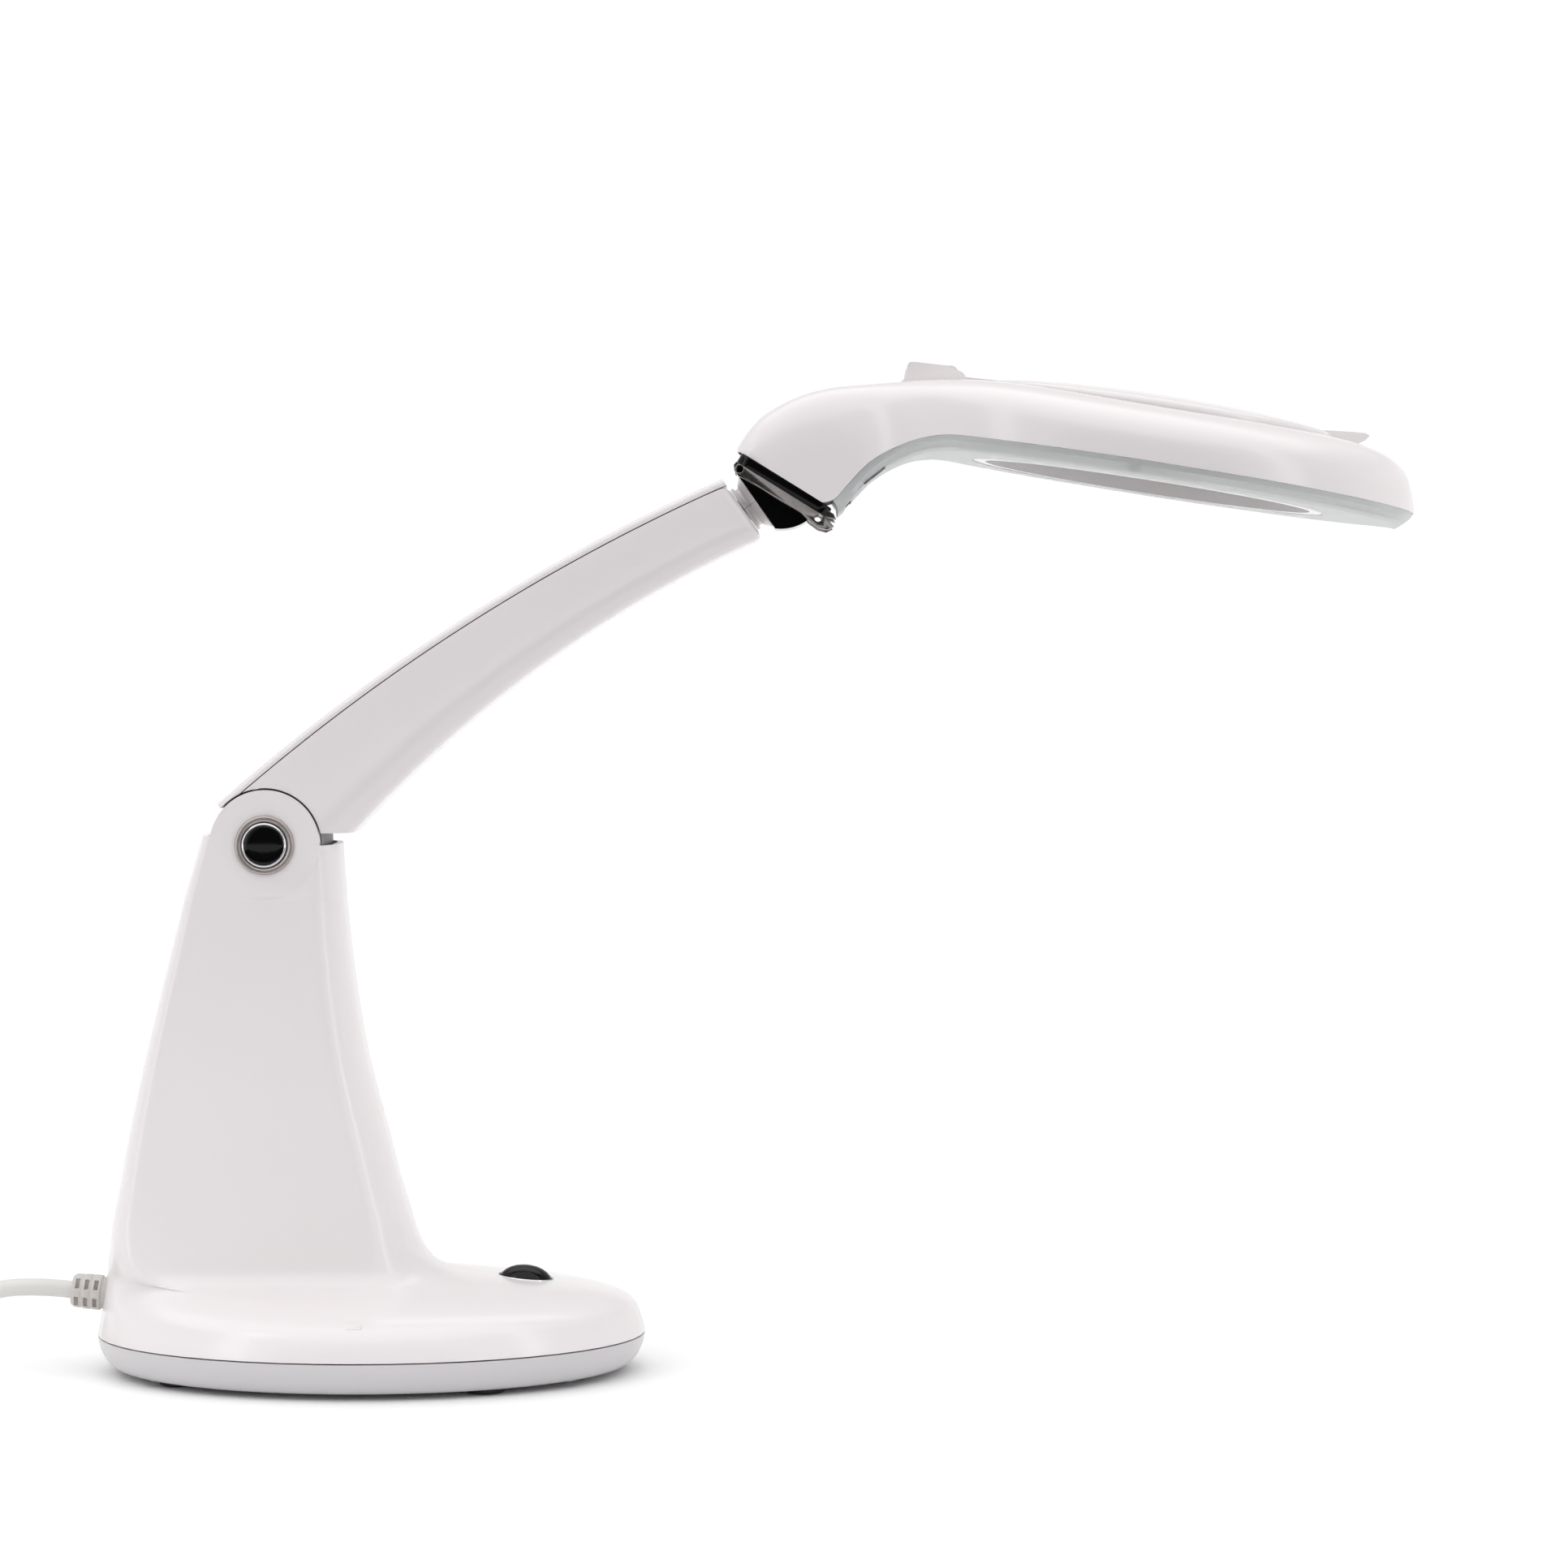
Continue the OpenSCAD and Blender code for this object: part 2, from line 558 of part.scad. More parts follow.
// ---- cord ----
lead_route = [[-106, 0, 27.4], [-116, 0, 28], [-126, 0, 27.6], [-136, 0, 25], [-146, -1, 19.5],
    [-156, -2, 13], [-166, -3, 7.5], [-176, -4, 4.2], [-186, -5, 3.1], [-198, -6, 3.1],
    [-210, -6, 3.1], [-221, -6, 3.1]];
tail_route = [[-229, 72, 9], [-222, 72, 8.7], [-216, 72, 8], [-210, 72, 7.3], [-204, 72, 7]];
// A round tube of eight-sided rings swept along a route
module tube(route, d) {
    n = len(route);
    loft([for (i = [0:n - 1]) let (
            before = route[max(i - 1, 0)], after = route[min(i + 1, n - 1)],
            run = (after - before) / norm(after - before),
            across = cross([0, 0, 1], run) / norm(cross([0, 0, 1], run)),
            up = cross(run, across))
        [for (q = ellipse(d / 2, d / 2, 10)) route[i] + q[0] * across + q[1] * up]]);
}
module cord_lead() { color("lightgray") placed() tube(lead_route, cord_d); }
module cord_tail() { color("lightgray") placed() tube(tail_route, cord_d); }
module cord_coil() {
    color("lightgray") placed() translate([coil_centre[0], coil_centre[1], 0]) rotate_extrude()
        polygon([[coil_r - 2 * cord_d, 0], [coil_r + 2 * cord_d, 0], [coil_r + 2 * cord_d, 2 * cord_d],
            [coil_r + cord_d / 2, 2 * cord_d], [coil_r + cord_d / 2, 17.2], [coil_r - cord_d / 2, 17.2],
            [coil_r - cord_d / 2, 2 * cord_d], [coil_r - 2 * cord_d, 2 * cord_d]]);
}
plug_x = -204;
module plug_body() {
    color("lightgray") placed() translate([plug_x, 72, 7]) {
        rotate([0, 90, 0]) cylinder(r1 = 3.6, r2 = 5, h = 12);
        hull() {
            translate([10, -6, -5]) cube([2, 12, 10]);
            translate([18, -12, -7]) cube([10, 24, 14]);
        }
        translate([28, -17.7, -7]) cube([8, 35.4, 14]);
    }
}
module plug_pins() {
    color("silver") placed() for (y = [-9.3, 9.3]) translate([plug_x + 36, 72 + y, 7]) rotate([0, 90, 0]) {
        cylinder(r = 2, h = 18, $fn = 24);
        translate([0, 0, 18]) cylinder(r1 = 2, r2 = 1.2, h = 1, $fn = 24);
    }
}

base_shell();
bottom_cover();
ballast_plate();
rubber_feet();
cover_screws();
power_button();
switch_body();
driver_board();
strain_relief();
column_wiring();
hinge_bolt();
hinge_nut();
friction_washers();
pivot_rings();
pivot_cap_left();
pivot_cap_right();
arm_knuckle();
arm_shell();
arm_cover();
arm_screws();
arm_wiring();
swivel_bush();
neck_upper();
neck_lower();
swivel_tube();
swivel_nut();
tilt_drum();
end_trim();
tilt_pin();
tilt_washers();
head_shell();
diffuser();
led_board();
leds();
reflector_tray();
lens();
lens_ring();
head_screws();
cover_pin();
lens_cover();
cord_lead();
cord_coil();
cord_tail();
plug_body();
plug_pins();
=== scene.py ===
# Desk magnifier lamp with a flip-up lens cover, from the mains cord up to the head.
# Lengths are millimetres in the lamp's own frame, with X along the arm from the middle of the
# base and Z up from the table, until place() turns a finished piece into metres in the CAD frame.
import math

import bmesh
import bpy
from mathutils import Matrix, Vector


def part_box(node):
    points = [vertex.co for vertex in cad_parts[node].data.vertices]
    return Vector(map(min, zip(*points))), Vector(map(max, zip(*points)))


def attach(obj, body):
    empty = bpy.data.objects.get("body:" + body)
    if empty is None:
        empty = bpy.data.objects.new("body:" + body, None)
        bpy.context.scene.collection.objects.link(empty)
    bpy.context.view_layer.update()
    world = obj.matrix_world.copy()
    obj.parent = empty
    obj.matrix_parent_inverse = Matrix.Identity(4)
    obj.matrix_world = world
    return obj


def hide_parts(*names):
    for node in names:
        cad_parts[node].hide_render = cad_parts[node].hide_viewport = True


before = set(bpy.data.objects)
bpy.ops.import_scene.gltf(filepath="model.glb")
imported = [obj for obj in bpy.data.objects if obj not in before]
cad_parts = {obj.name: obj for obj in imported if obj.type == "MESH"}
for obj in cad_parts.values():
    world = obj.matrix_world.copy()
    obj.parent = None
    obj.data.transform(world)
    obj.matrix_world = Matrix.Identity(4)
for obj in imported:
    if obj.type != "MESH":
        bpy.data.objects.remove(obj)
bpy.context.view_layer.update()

# ---- Camera ----
# It looks level along +Y at the lamp's side, a little above the middle of the lamp's height.
mm = 0.001
base_low, base_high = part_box("base_shell")
base_mid = (base_low.x + base_high.x) / 2
to_frame = Matrix.Translation((base_mid, 0, 0)) @ Matrix.Scale(mm, 4)

view_distance = 1.366
view_width = 0.541
view_height = 0.2475
view_aside = 0.142
camera_data = bpy.data.cameras.new("camera")
camera_data.sensor_width = 36
camera_data.lens = camera_data.sensor_width * view_distance / view_width
camera_data.shift_y = -0.0849
camera = bpy.data.objects.new("camera", camera_data)
camera.location = (base_mid + view_aside, -view_distance, view_height)
camera.rotation_euler = (math.radians(90), 0, 0)
bpy.context.scene.collection.objects.link(camera)
bpy.context.scene.camera = camera
bpy.context.scene.view_settings.view_transform = "Standard"


# ---- Mains cord, its plug and its strain relief ----
# Round light grey PVC lead, 6 mm thick. It drops from the strain relief to the table and is wound
# into a coil of two layers and a half behind the lamp, and it ends in a two-pin moulded plug.
def linear(code):
    """An sRGB hex colour as linear RGBA."""
    parts = [int(code[i : i + 2], 16) / 255 for i in (1, 3, 5)]
    return [*(c / 12.92 if c <= 0.04045 else ((c + 0.055) / 1.055) ** 2.4 for c in parts), 1]


def add(tree, kind, inputs=None, **settings):
    """One shader node with its settings; an input is a value, or a socket to link from."""
    node = tree.nodes.new(kind) if isinstance(kind, str) else kind
    for name, value in settings.items():
        setattr(node, name, value)
    for key, value in (inputs or {}).items():
        if isinstance(value, bpy.types.NodeSocket):
            tree.links.new(value, node.inputs[key])
        else:
            node.inputs[key].default_value = value
    return node


def grained(name, light, dark, rough, patch=40, grain=1.2, depth=0.01, **shader):
    """A finish whose colour drifts between two tones over patches of that many millimetres,
    with a surface grain of its own size and depth, and roughness between two values."""
    material = bpy.data.materials.new(name)
    material.use_nodes = True
    tree = material.node_tree
    where = add(tree, "ShaderNodeTexCoord").outputs["Object"]
    cloud = add(tree, "ShaderNodeTexNoise", {"Vector": where, "Scale": 1 / (patch * mm), "Detail": 3})
    tones = {0: cloud.outputs["Fac"], 6: linear(dark), 7: linear(light)}
    tone = add(tree, "ShaderNodeMix", tones, data_type="RGBA")
    skin = add(tree, "ShaderNodeTexNoise", {"Vector": where, "Scale": 1 / (grain * mm), "Detail": 2})
    gloss = add(
        tree,
        "ShaderNodeMapRange",
        {"Value": skin.outputs["Fac"], "To Min": rough[0], "To Max": rough[1]},
    )
    bump = add(
        tree,
        "ShaderNodeBump",
        {"Height": skin.outputs["Fac"], "Distance": depth * mm, "Strength": 1.0},
    )
    add(
        tree,
        tree.nodes["Principled BSDF"],
        {
            "Base Color": tone.outputs[2],
            "Roughness": gloss.outputs["Result"],
            "Normal": bump.outputs["Normal"],
            **shader,
        },
    )
    return material


def place(name, bm, material, body, *stands_for):
    """A finished bmesh as an object at the origin of the CAD frame, riding on its body."""
    bmesh.ops.transform(bm, matrix=to_frame, verts=bm.verts)
    mesh = bpy.data.meshes.new(name)
    bm.to_mesh(mesh)
    bm.free()
    mesh.materials.append(material)
    mesh.shade_smooth()
    piece = bpy.data.objects.new(name, mesh)
    bpy.context.scene.collection.objects.link(piece)
    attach(piece, body)
    if stands_for:
        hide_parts(*stands_for)
    return piece


def apply_modifiers(piece, crease=35):
    """Turns a piece's modifiers into mesh, and marks edges sharper than crease degrees."""
    depsgraph = bpy.context.evaluated_depsgraph_get()
    made = bpy.data.meshes.new_from_object(piece.evaluated_get(depsgraph), depsgraph=depsgraph)
    piece.modifiers.clear()
    piece.data = made
    made.shade_smooth()
    made.set_sharp_from_angle(angle=math.radians(crease))


def carve(piece, tools, operation="DIFFERENCE"):
    """Cuts each tool, a bmesh in the lamp's own frame, out of the piece, or joins it on."""
    cutters = []
    for tool in tools:
        bmesh.ops.recalc_face_normals(tool, faces=tool.faces)
        bmesh.ops.transform(tool, matrix=to_frame, verts=tool.verts)
        mesh = bpy.data.meshes.new("tool")
        tool.to_mesh(mesh)
        tool.free()
        cutter = bpy.data.objects.new("tool", mesh)
        bpy.context.scene.collection.objects.link(cutter)
        cutters.append(cutter)
        cut = piece.modifiers.new("cut", "BOOLEAN")
        cut.operation = operation
        cut.object = cutter
        cut.solver = "EXACT"
    apply_modifiers(piece)
    for cutter in cutters:
        bpy.data.objects.remove(cutter)


def soften(piece, width, angle=40, segments=2, crease=50):
    """Rounds every edge sharper than angle degrees, as a mould does."""
    edge = piece.modifiers.new("edge", "BEVEL")
    edge.width = width * mm
    edge.segments = segments
    edge.limit_method = "ANGLE"
    edge.angle_limit = math.radians(angle)
    edge.use_clamp_overlap = True
    edge.harden_normals = False
    apply_modifiers(piece, crease)


def lathe(outline, steps=64, matrix=None, axis_scale=(1, 1, 1)):
    """A solid of revolution about Z from an outline of radius and height, then set in place."""
    bm = bmesh.new()
    row = [bm.verts.new((r, 0, z)) for r, z in outline]
    edges = [bm.edges.new(pair) for pair in zip(row, row[1:])]
    turn = math.radians(360)
    bmesh.ops.spin(
        bm, geom=row + edges, angle=turn, steps=steps, axis=(0, 0, 1), cent=(0, 0, 0), use_merge=True
    )
    bmesh.ops.remove_doubles(bm, verts=bm.verts, dist=0.001)
    bmesh.ops.recalc_face_normals(bm, faces=bm.faces)
    bmesh.ops.scale(bm, vec=axis_scale, verts=bm.verts)
    if matrix:
        bmesh.ops.transform(bm, matrix=matrix, verts=bm.verts)
    return bm


def block(low, high, matrix=None):
    """A box between two corners, then set in place."""
    bm = bmesh.new()
    bmesh.ops.create_cube(bm, size=1)
    low, high = Vector(low), Vector(high)
    bmesh.ops.scale(bm, vec=high - low, verts=bm.verts)
    bmesh.ops.translate(bm, vec=(low + high) / 2, verts=bm.verts)
    if matrix:
        bmesh.ops.transform(bm, matrix=matrix, verts=bm.verts)
    return bm


def drill(radius, start, end, matrix=None, across=1.0, sides=64):
    """A round or oval plug between two heights, then set in place."""
    bm = bmesh.new()
    bmesh.ops.create_cone(
        bm, cap_ends=True, segments=sides, radius1=radius, radius2=radius, depth=end - start
    )
    bmesh.ops.translate(bm, vec=(0, 0, (start + end) / 2), verts=bm.verts)
    bmesh.ops.scale(bm, vec=(1, across, 1), verts=bm.verts)
    if matrix:
        bmesh.ops.transform(bm, matrix=matrix, verts=bm.verts)
    return bm


def through(rows, steps):
    """Rows of numbers with more between them, on a smooth curve that passes through each row."""
    made = []
    for i in range(len(rows) - 1):
        before, a, b, after = rows[max(i - 1, 0)], rows[i], rows[i + 1], rows[min(i + 2, len(rows) - 1)]
        for j in range(steps):
            t = j / steps
            made.append(
                [
                    q + t / 2 * (r - p + t * (2 * p - 5 * q + 4 * r - s + t * (3 * (q - r) + s - p)))
                    for p, q, r, s in zip(before, a, b, after)
                ]
            )
    return [*made, list(rows[-1])]


cord_d = 6
lead_route = [
    (-103.4, 0, 27.1), (-108, 0, 27.6), (-116, 0, 28), (-126, 0, 27.6), (-136, 0, 25), (-146, -1, 19.5),
    (-156, -2, 13), (-166, -3, 7.5), (-176, -4, 4.2), (-186, -5, 3.1), (-198, -6, 3.1), (-210, -6, 3.1),
    (-221, -6, 3.1),
]
tail_route = [(-229, 72, 9), (-222, 72, 8.7), (-216, 72, 8), (-210, 72, 7.3), (-204, 72, 7)]
coil_centre = (-230, 33)
# The radius and the height of each turn: two flat layers, one turn in the groove on top, and the
# last half turn on the outside of the second layer.
turns = [(39, 3), (33, 3), (27, 3), (21, 3), (21, 9), (27, 9), (33, 9), (30, 14.2), (39, 9)]
turn_steps = 36
step_share = 0.16


def coil_point(turn):
    """The cord's middle line after that many turns; each turn ends by stepping to the next."""
    whole = int(turn)
    r, z = turns[whole]
    rest = (turn - whole - (1 - step_share)) / step_share
    if rest > 0 and whole + 1 < len(turns):
        ease = rest * rest * (3 - 2 * rest)
        r += (turns[whole + 1][0] - r) * ease
        z += (turns[whole + 1][1] - z) * ease
    angle = math.radians(-90 - 360 * turn)
    return (coil_centre[0] + r * math.cos(angle), coil_centre[1] + r * math.sin(angle), z)


coil_turns = len(turns) - 0.5
coil_route = [coil_point(i / turn_steps) for i in range(int(coil_turns * turn_steps))]
cord_line = through(lead_route, 3) + coil_route[1:] + through(tail_route, 3)
cord_curve = bpy.data.curves.new("mains_cord", "CURVE")
cord_curve.dimensions = "3D"
cord_curve.bevel_depth = cord_d / 2 * mm
cord_curve.bevel_resolution = 4
cord_curve.use_fill_caps = True
spline = cord_curve.splines.new("POLY")
spline.points.add(len(cord_line) - 1)
cord_points = [to_frame @ Vector(p) for p in cord_line]
for point, at in zip(spline.points, cord_points):
    point.co = (*at, 1)
# Plasticised PVC sheath: even, slightly satin, with the fine ripple that extrusion leaves
pvc = grained("extruded_pvc", "#DAD9D6", "#CFCDCA", (0.38, 0.5), patch=30, grain=2.5, depth=0.03)
cord_curve.materials.append(pvc)
cord = bpy.data.objects.new("mains_cord", cord_curve)
bpy.context.scene.collection.objects.link(cord)
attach(cord, "base")
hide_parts("cord_lead", "cord_coil", "cord_tail")

relief_z = 26
relief_rise = 5.5
along_relief = Matrix.Translation((-92, 0, relief_z)) @ Matrix.Rotation(
    math.radians(-90 + relief_rise), 4, "Y"
)
relief_outline = [
    (0, -7.4), (7, -7.4), (7, -5.6), (5.4, -5.4), (5.4, 1), (5.9, 1.3), (6, 1.6), (6, 4), (5.8, 4.3),
    (5.8, 4.6), (6, 4.9), (5.9, 7.2), (5.7, 7.5), (5.7, 7.8), (5.8, 8.1), (5.7, 10.3), (5, 11.3),
    (3.2, 11.6), (0, 11.6),
]
# The boot's PVC is a firmer, greyer grade
boot_pvc = grained(
    "moulded_grey_pvc", "#CBC6C2", "#BFBAB6", (0.42, 0.55), patch=12, grain=1.2, depth=0.02
)
relief = place(
    "strain_relief_boot", lathe(relief_outline, 48, along_relief), boot_pvc, "base", "strain_relief"
)
windows = []
for rib in (2.8, 6, 9.2):
    for up in (1.4, -4.6):
        for side in (3.1, -8):
            windows.append(
                block((up, side, rib - 0.75), (up + 3.2, side + 4.9, rib + 0.75), along_relief)
            )
carve(relief, windows)
soften(relief, 0.25, segments=1)

# The plug is one moulding: a ribbed grip that widens to a flat face with two round pins
plug_x, plug_y, plug_z = -204, 72, 7
# How far along, half width, half height, and how square
plug_sections = [
    (0, 3.6, 3.6, 2), (4, 3.9, 3.9, 2), (10, 5, 4.6, 2), (13, 8, 5.4, 2.6), (17, 11.4, 6.4, 3.2),
    (22, 12.6, 6.9, 4), (27, 13.6, 6.9, 4.5), (29, 16.6, 6.9, 5), (31, 17.4, 7, 6), (36, 17.6, 7, 6),
]


def loft(sections, closed=True, caps=True):
    """A skin through sections of equal point counts, each extruded from the one before."""
    bm = bmesh.new()
    row = [bm.verts.new(p) for p in sections[0]]
    follow = row[1:] + row[:1] if closed else row[1:]
    edges = [bm.edges.new(pair) for pair in zip(row, follow)]
    if closed and caps:
        bmesh.ops.contextual_create(bm, geom=row)
    for section in sections[1:]:
        made = bmesh.ops.extrude_edge_only(bm, edges=edges)["geom"]
        fresh = {g for g in made if isinstance(g, bmesh.types.BMVert)}
        order = {v: i for i, v in enumerate(row)}
        row = [None] * len(order)
        for v in fresh:
            i = next(order[e.other_vert(v)] for e in v.link_edges if e.other_vert(v) in order)
            v.co = section[i]
            row[i] = v
        edges = [g for g in made if isinstance(g, bmesh.types.BMEdge) and set(g.verts) <= fresh]
    if closed and caps:
        bmesh.ops.contextual_create(bm, geom=row)
    bmesh.ops.recalc_face_normals(bm, faces=bm.faces)
    return bm


def superellipse(a, b, power, count=48):
    """Points round an oval that is squarer the higher its power."""
    made = []
    for i in range(count):
        c, s = math.cos(2 * math.pi * i / count), math.sin(2 * math.pi * i / count)
        x = a * math.copysign(abs(c) ** (2 / power), c)
        y = b * math.copysign(abs(s) ** (2 / power), s)
        made.append((x, y))
    return made


plug = place(
    "plug_moulding",
    loft(
        [
            [(plug_x + along, plug_y + y, plug_z + z) for y, z in superellipse(wide, high, square)]
            for along, wide, high, square in through(plug_sections, 3)
        ]
    ),
    pvc,
    "base",
    "plug_body",
)
grooves = [
    block((plug_x + x, plug_y - side * 14 - 2.2, 0), (plug_x + x + 1.2, plug_y - side * 14 + 2.2, 14))
    for x in (15.5, 18.5, 21.5, 24.5)
    for side in (-1, 1)
]
carve(plug, grooves)
soften(plug, 0.5, angle=45)

# ---- Base shell with its column ----
# One glossy injection-moulded ABS shell: a low oval dome that flares up into the hollow column,
# with two ears round the arm's pivot, a slot between them and a dished well for the button.
pivot = Vector((-34.5, 0, 181.5))
at_pivot = Matrix.Translation(pivot)
across = Matrix.Rotation(math.radians(-90), 4, "X")
wall = 2.4
ear_y = 21.5
ear_r = 18.7
slot_y = 18
front_top_z = 181.3
# Each level: height in front, at the sides and behind, rear x, front x, half width, how deep the
# rounded front and rear are, and how square the corners are
levels = [
    (13.1, 13.1, 13.1, -94, 94, 65, 94, 94, 2), (15.5, 15.5, 15.5, -93.6, 93.6, 64.7, 93.6, 93.6, 2),
    (18.4, 18.4, 18.4, -93, 92.7, 63.9, 92.7, 93, 2), (22.5, 22.5, 22.7, -92.3, 91, 62, 91, 92.3, 2),
    (25.5, 25.4, 26, -91.8, 87, 58, 87, 91.8, 2), (28, 27.9, 29, -91.5, 79, 51, 79, 88, 2),
    (30.2, 29.8, 31.5, -91.3, 66, 43.5, 68, 74, 2), (32.1, 31, 34, -91, 50, 37.5, 54, 57, 2.05),
    (33.2, 31.9, 36.2, -90.8, 38, 34, 41, 42, 2.1), (34.3, 33.3, 38.5, -90.5, 28.6, 31.2, 31, 30, 2.15),
    (36.6, 35.9, 41.2, -90.1, 22.6, 29.3, 24, 21, 2.2), (40.5, 39.8, 44.5, -89.5, 18.8, 28, 20.5, 15, 2.3),
    (46, 45.6, 48.6, -88.8, 15.8, 26.9, 18.6, 11.5, 2.4), (53, 53, 54, -87.9, 13.6, 26, 17.5, 10, 2.5),
    (66, 66, 66, -85.4, 9.6, 25.4, 16, 9, 2.5), (80, 80, 80, -83, 6, 25, 15, 8.4, 2.5),
    (108, 108, 108, -77, -1.4, 24, 13, 7, 2.5), (136, 136, 136, -70.2, -6.1, 22.8, 11.8, 6, 2.5),
    (160, 160, 160, -64.2, -8.9, 21.6, 10.8, 5.2, 2.6), (164, 164, 164, -63.2, -9.2, ear_y, 10.6, 5, 2.6),
    (184.6, 184.6, 184.6, -57.1, -10.8, ear_y, 8.6, 4.4, 2.6),
]
quarter = 12


def level_points(level):
    """The outline of the shell at one level, round the front from one side to the other and back."""
    z_front, z_side, z_rear, rear, front, wide, deep_front, deep_rear, power = level
    made = []
    for i in range(-quarter, quarter + 1):
        t = math.radians(90 * i / quarter)
        c, s = math.cos(t), math.sin(t)
        made.append(
            (
                front - deep_front + deep_front * abs(c) ** (2 / power),
                wide * math.copysign(abs(s) ** (2 / power), s),
                z_side + (z_front - z_side) * c * c,
            )
        )
    for i in range(-quarter, quarter + 1):
        t = math.radians(90 * i / quarter)
        c, s = math.cos(t), math.sin(t)
        made.append(
            (
                rear + deep_rear - deep_rear * abs(c) ** (2 / power),
                -wide * math.copysign(abs(s) ** (2 / power), s),
                z_side + (z_rear - z_side) * c * c,
            )
        )
    return made


# ABS from a polished mould: a hard gloss over a faint ripple, warm white that drifts very little
white_abs = grained(
    "moulded_gloss_abs", "#E7E2E3", "#E2DDDE", (0.16, 0.24), patch=120, grain=6, depth=0.006, IOR=1.53
)
shell_skin = loft([level_points(level) for level in through(levels, 3)], caps=False)
top_rim = [e for e in shell_skin.edges if e.is_boundary and min(v.co.z for v in e.verts) > 150]
bmesh.ops.holes_fill(shell_skin, edges=top_rim)
bmesh.ops.remove_doubles(shell_skin, verts=shell_skin.verts, dist=0.02)
bmesh.ops.recalc_face_normals(shell_skin, faces=shell_skin.faces)
base = place("base_and_column", shell_skin, white_abs, "base", "base_shell")
shell_wall = base.modifiers.new("wall", "SOLIDIFY")
shell_wall.thickness = wall * mm
shell_wall.offset = -1
apply_modifiers(base)
ear_wall = 3.5
ears = [
    drill(ear_r, inner, inner + ear_wall, at_pivot @ across, sides=128)
    for inner in (ear_y - ear_wall, -ear_y)
]
carve(base, [block((-20, -40, front_top_z), (10, 40, 190))])
carve(base, ears, "UNION")

button_at = Matrix.Translation((53, 0, 31.6)) @ Matrix.Rotation(math.radians(5.4), 4, "Y")
cap_well_y = 20.4
cap_wells = [
    drill(6.7, side * cap_well_y - 2, side * cap_well_y + 2, at_pivot @ across) for side in (1, -1)
]
carve(
    base,
    [
        block((-54.2, -slot_y, 150), (-14.6, slot_y, 205)),
        drill(9.4, -12, 12, button_at, across=0.765),
        drill(5.6, -8, 30, along_relief),
        drill(4.05, -40, 40, at_pivot @ across),
        *cap_wells,
    ],
)
soften(base, 0.55, angle=32, segments=3, crease=60)

# ---- Bottom cover and feet ----
# A shallow ABS bowl screwed up into the shell from below, on five moulded rubber feet. A fine gap
# is left at the seam, dark because the base is hollow.
bowl_levels = [
    (1.5, 60, 40), (1.5, 80, 54), (1.8, 85, 58), (2.6, 88.5, 60.5), (5, 91.2, 62.8), (9, 93.3, 64.5),
    (12.6, 94, 65),
]
# The same white ABS painted a light grey, as painted shade for the bowl low by the table, from a slightly
# duller mould
painted_shade_abs = grained(
    "abs_grey_with_painted_shade", "#CBC9CB", "#C6C4C6", (0.2, 0.28), patch=120, grain=5, depth=0.008, IOR=1.53
)
# The bowl's light grey is painted shade on white ABS
bowl = place(
    "base_bowl",
    loft([[(x, y, z) for x, y in superellipse(a, b, 2, 96)] for z, a, b in through(bowl_levels, 3)]),
    painted_shade_abs,
    "base",
    "bottom_cover",
)
well_levels = [(3.9, 85, 58), (9, 90.6, 61.8), (15, 91.6, 62.6)]
well = loft([[(x, y, z) for x, y in superellipse(a, b, 2, 96)] for z, a, b in well_levels])
screw_places = [
    (84 * math.cos(math.radians(t)), 55.5 * math.sin(math.radians(t))) for t in (35, 145, 215, 325)
]
screw_wells = [drill(3.1, 0, 3.5, Matrix.Translation((x, y, 0)), sides=32) for x, y in screw_places]
screw_holes = [drill(1.7, 0, 8, Matrix.Translation((x, y, 0)), sides=24) for x, y in screw_places]
carve(bowl, [well, *screw_wells, *screw_holes])
soften(bowl, 0.3, angle=40)

# Moulded nitrile rubber: matt, nearly black, with a fine bloom
rubber = grained("moulded_rubber", "#2B2B2D", "#1E1E20", (0.7, 0.85), patch=8, grain=0.8, depth=0.03)
foot_outline = [(0, 0), (6.1, 0), (6.7, 0.25), (7, 0.9), (7, 2.2), (0, 2.2)]
foot_places = ((42, 42), (42, -42), (-62, 29), (-62, -29), (72, 0))
feet = bmesh.new()
for x, y in foot_places:
    foot = lathe(foot_outline, 48, Matrix.Translation((x, y, 0)))
    foot_mesh = bpy.data.meshes.new("foot")
    foot.to_mesh(foot_mesh)
    foot.free()
    feet.from_mesh(foot_mesh)
    bpy.data.meshes.remove(foot_mesh)
place("feet", feet, rubber, "base", "rubber_feet")

# ---- Push button ----
# A domed oval button in black gloss ABS, in a well with a bright plated lip round it.
# Black gloss ABS; on the head's end band this black is a painted reflection
black_abs_and_reflection = grained(
    "black_gloss_abs_and_painted_reflection", "#0B0B0C", "#060607", (0.06, 0.1), patch=30, grain=4, depth=0.003,
    **{"Specular IOR Level": 0.22},
)
button_outline = [
    (0, 4.2), (1.8, 4.08), (3.8, 3.72), (5.6, 3.05), (7.1, 2.15), (8.2, 1.15), (8.85, 0.3), (9, -0.2),
    (9, -2), (0, -2),
]
button = place(
    "push_button", lathe(button_outline, 96, button_at, (1, 0.76, 1)), black_abs_and_reflection, "button", "power_button"
)
lip_outline = [(9.45, -1.6), (9.45, 0.1), (9.65, 0.3), (9.9, 0.1), (9.9, -1.6), (9.45, -1.6)]

# Nickel-bright chrome over ABS: a mirror, with only a trace of haze
chrome = grained(
    "chrome_plated_abs", "#E8E8EA", "#DEDEE2", (0.04, 0.08), patch=12, grain=3, depth=0.002, Metallic=1.0
)
lip = place("button_lip", lathe(lip_outline, 96, button_at, (1, 0.77, 1)), chrome, "base")

